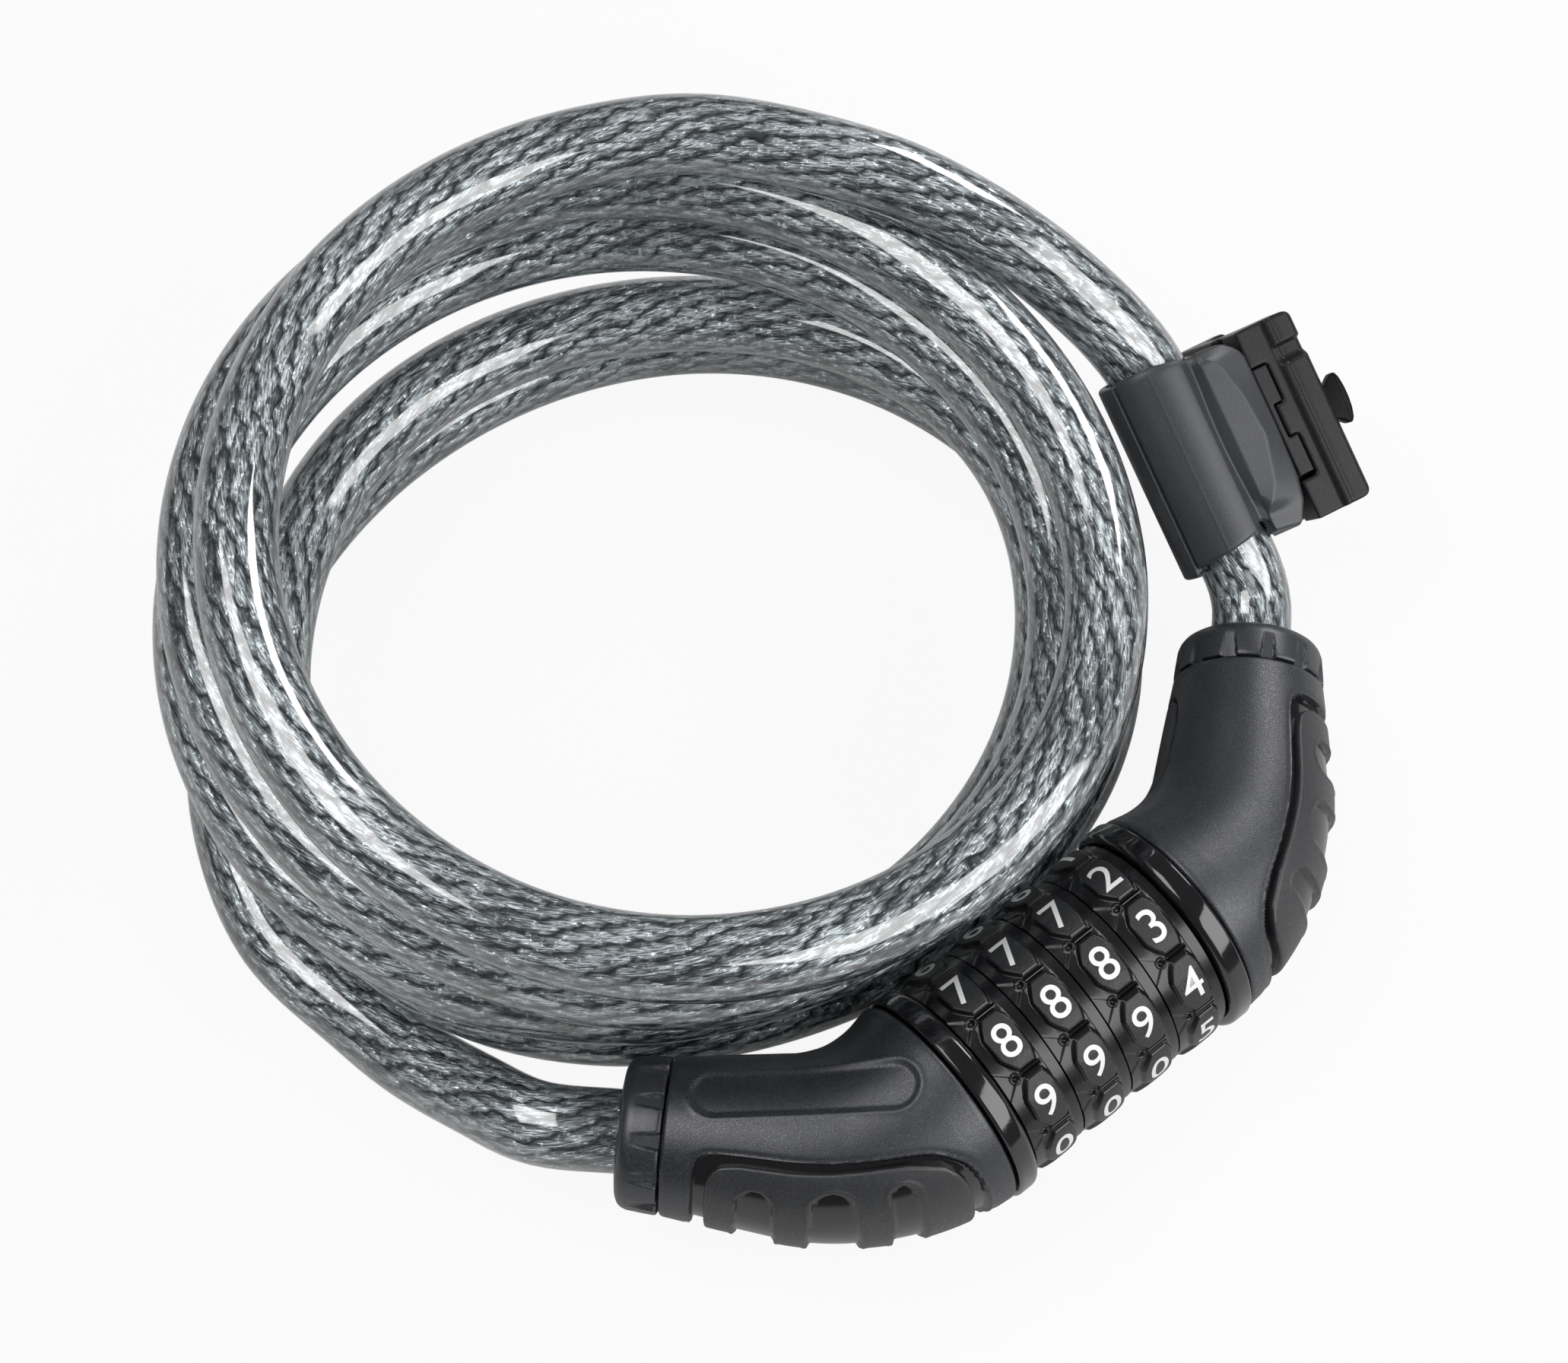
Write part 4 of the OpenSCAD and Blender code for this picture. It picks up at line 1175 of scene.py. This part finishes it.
def round_sleeve(r, turn, y=None):
    """Points (x, z) at a radius and an angle round the sleeve, or (x, y, z)."""
    x, z = r * np.cos(turn), r * np.sin(turn)
    return np.stack([x, z] if y is None else [x, y, z], axis=1)


def eased(loop, passes):
    """The same closed loop with its corners eased."""
    for _ in range(passes):
        loop = (np.roll(loop, 1, axis=0) + 2 * loop + np.roll(loop, -1, axis=0)) / 4
    return loop


def inset(loop, depth):
    """A closed loop moved inwards, square to itself."""
    along = np.roll(loop, -1, axis=0) - np.roll(loop, 1, axis=0)
    normal = np.stack([-along[:, 1], along[:, 0]], axis=1)
    normal /= np.linalg.norm(normal, axis=1)[:, None]
    after = np.roll(loop, -1, axis=0)
    area = np.sum(loop[:, 0] * after[:, 1] - loop[:, 1] * after[:, 0])
    return loop + normal * depth * np.sign(area)


def clip_outline(y):
    """Points (x, z) round the clip, and how far each runs at both ends."""
    ridge = np.interp(y, *RIDGE_EDGE.T)
    edge = np.interp(y, *FLANGE_EDGE.T)
    rise = float(smooth_step((y + 12.8) / 2.0) * smooth_step((15.4 - y) / 2.0))
    dip = 3.9 - 0.5 * math.sin(math.pi * (y + CLIP_LEN / 2) / CLIP_LEN) ** 2
    # the crown runs from the lip past the slit and the seam line to the valley
    turn = np.interp(np.arange(181), [0, 60, 95, 125, 180], [228, 159, 150, 114, 73])
    r = SLEEVE_R - 0.9 * np.exp(-((turn - 154.7) / 1.9) ** 4) + 0.06 * hump((turn - 111.7) / 0.9)
    crown = round_sleeve(r + 0.15 * smooth_step((turn - 156) / 1.5), np.radians(turn))
    top = np.interp(-turn, [-228, -158, -152, -110, -73], [16, 15.6, 16, 16, 15.4])
    bottom = np.interp(-turn, [-228, -158, -152, -110, -73], [-16, -16, -14.8, -14.2, -13.4])
    under = round_sleeve(SLEEVE_R, np.radians(np.linspace(-64, -131, 25)))
    # valley, ridge, flange and foot: x, z, points before it, its top and low end
    corners = [(dip - 0.6, 6.75, 5, 14.9, -12.8), (dip, 6.05, 5, 14.6, -12.2),
               (dip + 0.4, 5.95, 4, 14.6, -12.2), (5.3, 6.2 + 0.95 * rise, 14, 14.8, -12.8),
               (ridge, 6.4 + 1.0 * rise, 24, 14.9, -14.6), (edge - 0.5, 6.1, 16, 14.6, -15.4),
               (edge, 5.4, 6, 14.5, -15.3), (edge, -9.6, 18, 14.5, -15.2),
               (7.0, -8.4, 10, 14.8, -14.8), (5.2, -6.6, 5, 15, -15), (*under[0], 5, 16, -16)]
    here = np.array([*crown[-1], top[-1], bottom[-1]])
    walls = []
    for x, z, count, end, start in corners:
        there = np.array([x, z, end, start])
        walls += [here + (there - here) * (k / count) for k in range(1, count + 1)]
        here = there
    rest = [(x, z, 16.0, -16.0) for x, z in under[1:]]
    around = np.vstack([np.column_stack([crown, top, bottom]), walls, rest])
    return around[:, :2], around[:, 2], around[:, 3]


def clip_rings():
    """Rings of points over the outside of the clip, with its bore's rims."""
    away = np.concatenate([[0, 0.06, 0.18, 0.36, 0.6], np.arange(1.1, 30.2, 0.55),
                           [30.6, 30.82, 30.94, CLIP_LEN]])
    rings, rims = [], []
    for a in away:
        points, top, bottom = clip_outline(a - CLIP_LEN / 2)
        near_end = min(a, CLIP_LEN - a) / CLIP_ROLL
        loop = inset(eased(points, 2), CLIP_ROLL * rolled_edge(near_end))
        y = bottom + (top - bottom) * a / CLIP_LEN
        rings.append(np.stack([loop[:, 0], y, loop[:, 1]], axis=1))
        if a in (0, CLIP_LEN):
            # the bore's rim has a point for each of the outline's, never turning back
            turn = np.minimum.accumulate(np.unwrap(np.arctan2(loop[:, 1], loop[:, 0])))
            turn = np.maximum(turn, turn[0] - 2 * math.pi + 0.01)
            rims.append(round_sleeve(BORE_R, turn, y))
    return np.array([rims[0], *rings, rims[1]])


bracket_shell = band("bracket_shell", at_bracket(clip_rings()), 40)
print("clip faces", len(bracket_shell.data.polygons))

# %% [markdown]
# The other parts of the bracket are plainer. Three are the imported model's own
# pieces with their edges eased. The strap hook is a small black plate, drawn
# from above, and a short rubber sleeve lies between the clip and the cable.

# %% Other bracket parts
HOOK = np.array([(20.9, 1.6), (22.5, 2.0), (24.0, 3.2), (24.7, 3.2), (25.1, 2.3), (25.3, 0.6),
                 (25.3, -1.2), (25.1, -2.9), (24.7, -4.3), (24.2, -4.9), (23.6, -4.8),
                 (22.4, -3.7), (20.9, -3.2)])
# the heights of the plate's rings, and how far each is drawn in
HOOK_RINGS = [(3.6, 0.5), (3.68, 0.2), (3.9, 0.03), (4.2, 0), (5.5, 0), (5.8, 0.03),
              (6.02, 0.2), (6.1, 0.5)]
LINER = [(6.08, -11.6), (6.85, -11.6), (6.85, 13.6), (6.08, 13.6)]
BODY_EDGE, BODY_CORNER = 21.4, 1.8


def from_bracket(points):
    """From the lock's frame, in millimetres, to the bracket's own."""
    x, y, z = np.moveaxis(np.asarray(points, float) - BRACKET_AT, -1, 0)
    x, y = x * math.cos(TURN) + y * math.sin(TURN), y * math.cos(TURN) - x * math.sin(TURN)
    y, z = y * math.cos(TILT) + z * math.sin(TILT), z * math.cos(TILT) - y * math.sin(TILT)
    return np.stack([x, y, z], axis=-1)


def points_of(mesh):
    """A mesh's points, one row each."""
    flat = np.empty(len(mesh.vertices) * 3)
    mesh.vertices.foreach_get("co", flat)
    return flat.reshape(-1, 3)


def softened(node, name, cell, passes, carve=None):
    """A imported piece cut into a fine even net, its edges eased, then carved."""
    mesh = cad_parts[node].data.copy()
    mesh.vertices.foreach_set("co", from_bracket(points_of(mesh) / MM).ravel())
    obj = bpy.data.objects.new(name, mesh)
    bpy.context.scene.collection.objects.link(obj)
    net = obj.modifiers.new("net", "REMESH")
    net.mode, net.voxel_size = "VOXEL", cell
    ease = obj.modifiers.new("ease", "SMOOTH")
    ease.factor, ease.iterations = 0.5, passes
    graph = bpy.context.evaluated_depsgraph_get()
    made = bpy.data.meshes.new_from_object(obj.evaluated_get(graph))
    obj.modifiers.clear()
    points = points_of(made)
    if carve:
        points = carve(points)
    made.vertices.foreach_set("co", (at_bracket(points) * MM).ravel())
    made.update()
    obj.data = made
    return finished(obj, 50)


def carve_body(points):
    """Rounds the body's outer corners and cuts the notch in its raised lip."""
    x, y, z = points.T.copy()
    past = np.clip(np.abs(y) - 13.2, 0, BODY_CORNER)
    x = np.minimum(x, BODY_EDGE - BODY_CORNER + np.sqrt(BODY_CORNER ** 2 - past ** 2))
    lip = smooth_step((x - 17.0) / 0.6) * (1 - smooth_step((x - 18.0) / 0.8))
    z = z + 0.6 * smooth_step((z - 4.8) / 0.8) * lip
    x = x + 0.7 * smooth_step((x - 18.6) / 2)
    y = y - 0.9 * smooth_step(-y / 15)
    notch = smooth_step((y - 7.4) / 1.2) * smooth_step((10.8 - y) / 0.5)
    z = z - 1.1 * notch * smooth_step((x - 17.2) / 0.5) * smooth_step((z - 4.4) / 1.4)
    return np.stack([x, y, z], axis=1)


def hook_rings():
    """The hook's outline at each height, drawn in where its edges roll."""
    ways = np.roll(HOOK, -1, axis=0) - HOOK
    steps = np.linspace(0, 1, 8, endpoint=False)[:, None]
    loop = eased((HOOK[:, None] + ways[:, None] * steps).reshape(-1, 2), 6)
    return np.array([np.column_stack([inset(loop, depth), np.full(len(loop), up)])
                     for up, depth in HOOK_RINGS])


bracket_body = softened("bracket_base", "bracket_body", 0.24, 5, carve_body)
bracket_key = softened("bracket_latch", "bracket_key", 0.14, 2)
tube_saddle = softened("saddle_pad", "tube_saddle", 0.25, 2)
print("body faces", len(bracket_body.data.polygons), "latch", len(bracket_key.data.polygons))
hook_plate = skin("hook_plate", at_bracket(hook_rings()), 45)
round_turn = np.linspace(0, 2 * math.pi, 72, endpoint=False)
liner_rings = np.array([round_sleeve(r, round_turn, np.full(72, y)) for r, y in LINER])
cable_grip = band("cable_grip", at_bracket(liner_rings), 45)

# %% [markdown]
# The steel and brass inside the barrel and the crimps on the cable's ends keep
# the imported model's own shapes, which are right. They get finishes of turned
# metal, with fine lathe lines round the axis.


# %% Finishes for pieces that keep their shape
def turned_metal(name, colour, rough):
    """Metal with fine lathe lines, which run round the barrel's axis."""
    t = Finish(name, Metallic=1.0)
    where = t.value("ShaderNodeTexCoord", pick="Object")
    along = t.value("ShaderNodeSeparateXYZ", {0: where})
    lines = t.value("ShaderNodeTexNoise", {"W": along, "Scale": 9000.0, "Detail": 1.0}, "Fac",
                    noise_dimensions="1D")
    soft, = t.shared(HAZE, Scale=300.0)
    t.feed(Base_Color=soft.mixed([c * 0.8 for c in colour], colour),
           Roughness=lines.ranged(rough - 0.08, rough + 0.1))
    t.bump(lines, 0.00001)
    return t.material


steel_finish = turned_metal("turned_steel", (0.62, 0.63, 0.64), 0.28)
brass_finish = turned_metal("turned_brass", (0.72, 0.52, 0.24), 0.32)
crimp_finish = turned_metal("crimped_steel", (0.5, 0.51, 0.52), 0.4)
for node, finish in [("barrel_tube", steel_finish), ("locking_shaft", steel_finish),
                     ("wave_washer", steel_finish), ("socket_ferrule", crimp_finish),
                     ("plug_ferrule", crimp_finish),
                     *[(f"code_wheel_{k}", brass_finish) for k in range(1, 5)]]:
    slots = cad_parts[node].data.materials
    slots.clear()
    slots.append(finish)
    print(node, finish.name)

# %% [markdown]
# The bracket is moulded plastic too. Its clip is a little paler than its base,
# the strap hook is the darkest, and the liners are dull rubber. Each piece now
# gets its finish and is hung on its body: the clip and its liner stay with the
# cable, the base, saddle and hook on the bracket, and the latch on its own.

# %% Finishes of the bracket
liner_finish = plastic("liner_rubber", (0.014, 0.014, 0.015), (0.04, 0.04, 0.04),
                       0.6, 0.25, 0.02)
clip_finish = plastic("clip_plastic", (0.042, 0.044, 0.049), (0.075, 0.079, 0.087),
                      0.38, 0.2, 0.025)
base_finish = plastic("bracket_plastic", (0.012, 0.012, 0.0135), (0.032, 0.033, 0.036),
                      0.36, 0.2, 0.02, Specular_IOR_Level=0.25)
hook_finish = plastic("hook_plastic", (0.002, 0.002, 0.002), (0.008, 0.008, 0.008),
                      0.45, 0.3, 0.006, Specular_IOR_Level=0.15)
fit(bracket_shell, "bracket_clip", "socket_side", clip_finish)
fit(cable_grip, "bracket_liner", "socket_side", liner_finish)
fit(bracket_key, "bracket_latch", "latch", base_finish)
fit(bracket_body, "bracket_base", "tube_bracket", base_finish)
fit(tube_saddle, "saddle_pad", "tube_bracket", liner_finish)
fit(hook_plate, "strap_hook", "tube_bracket", hook_finish)
print("bracket finishes", len({clip_finish, liner_finish, base_finish, hook_finish}))
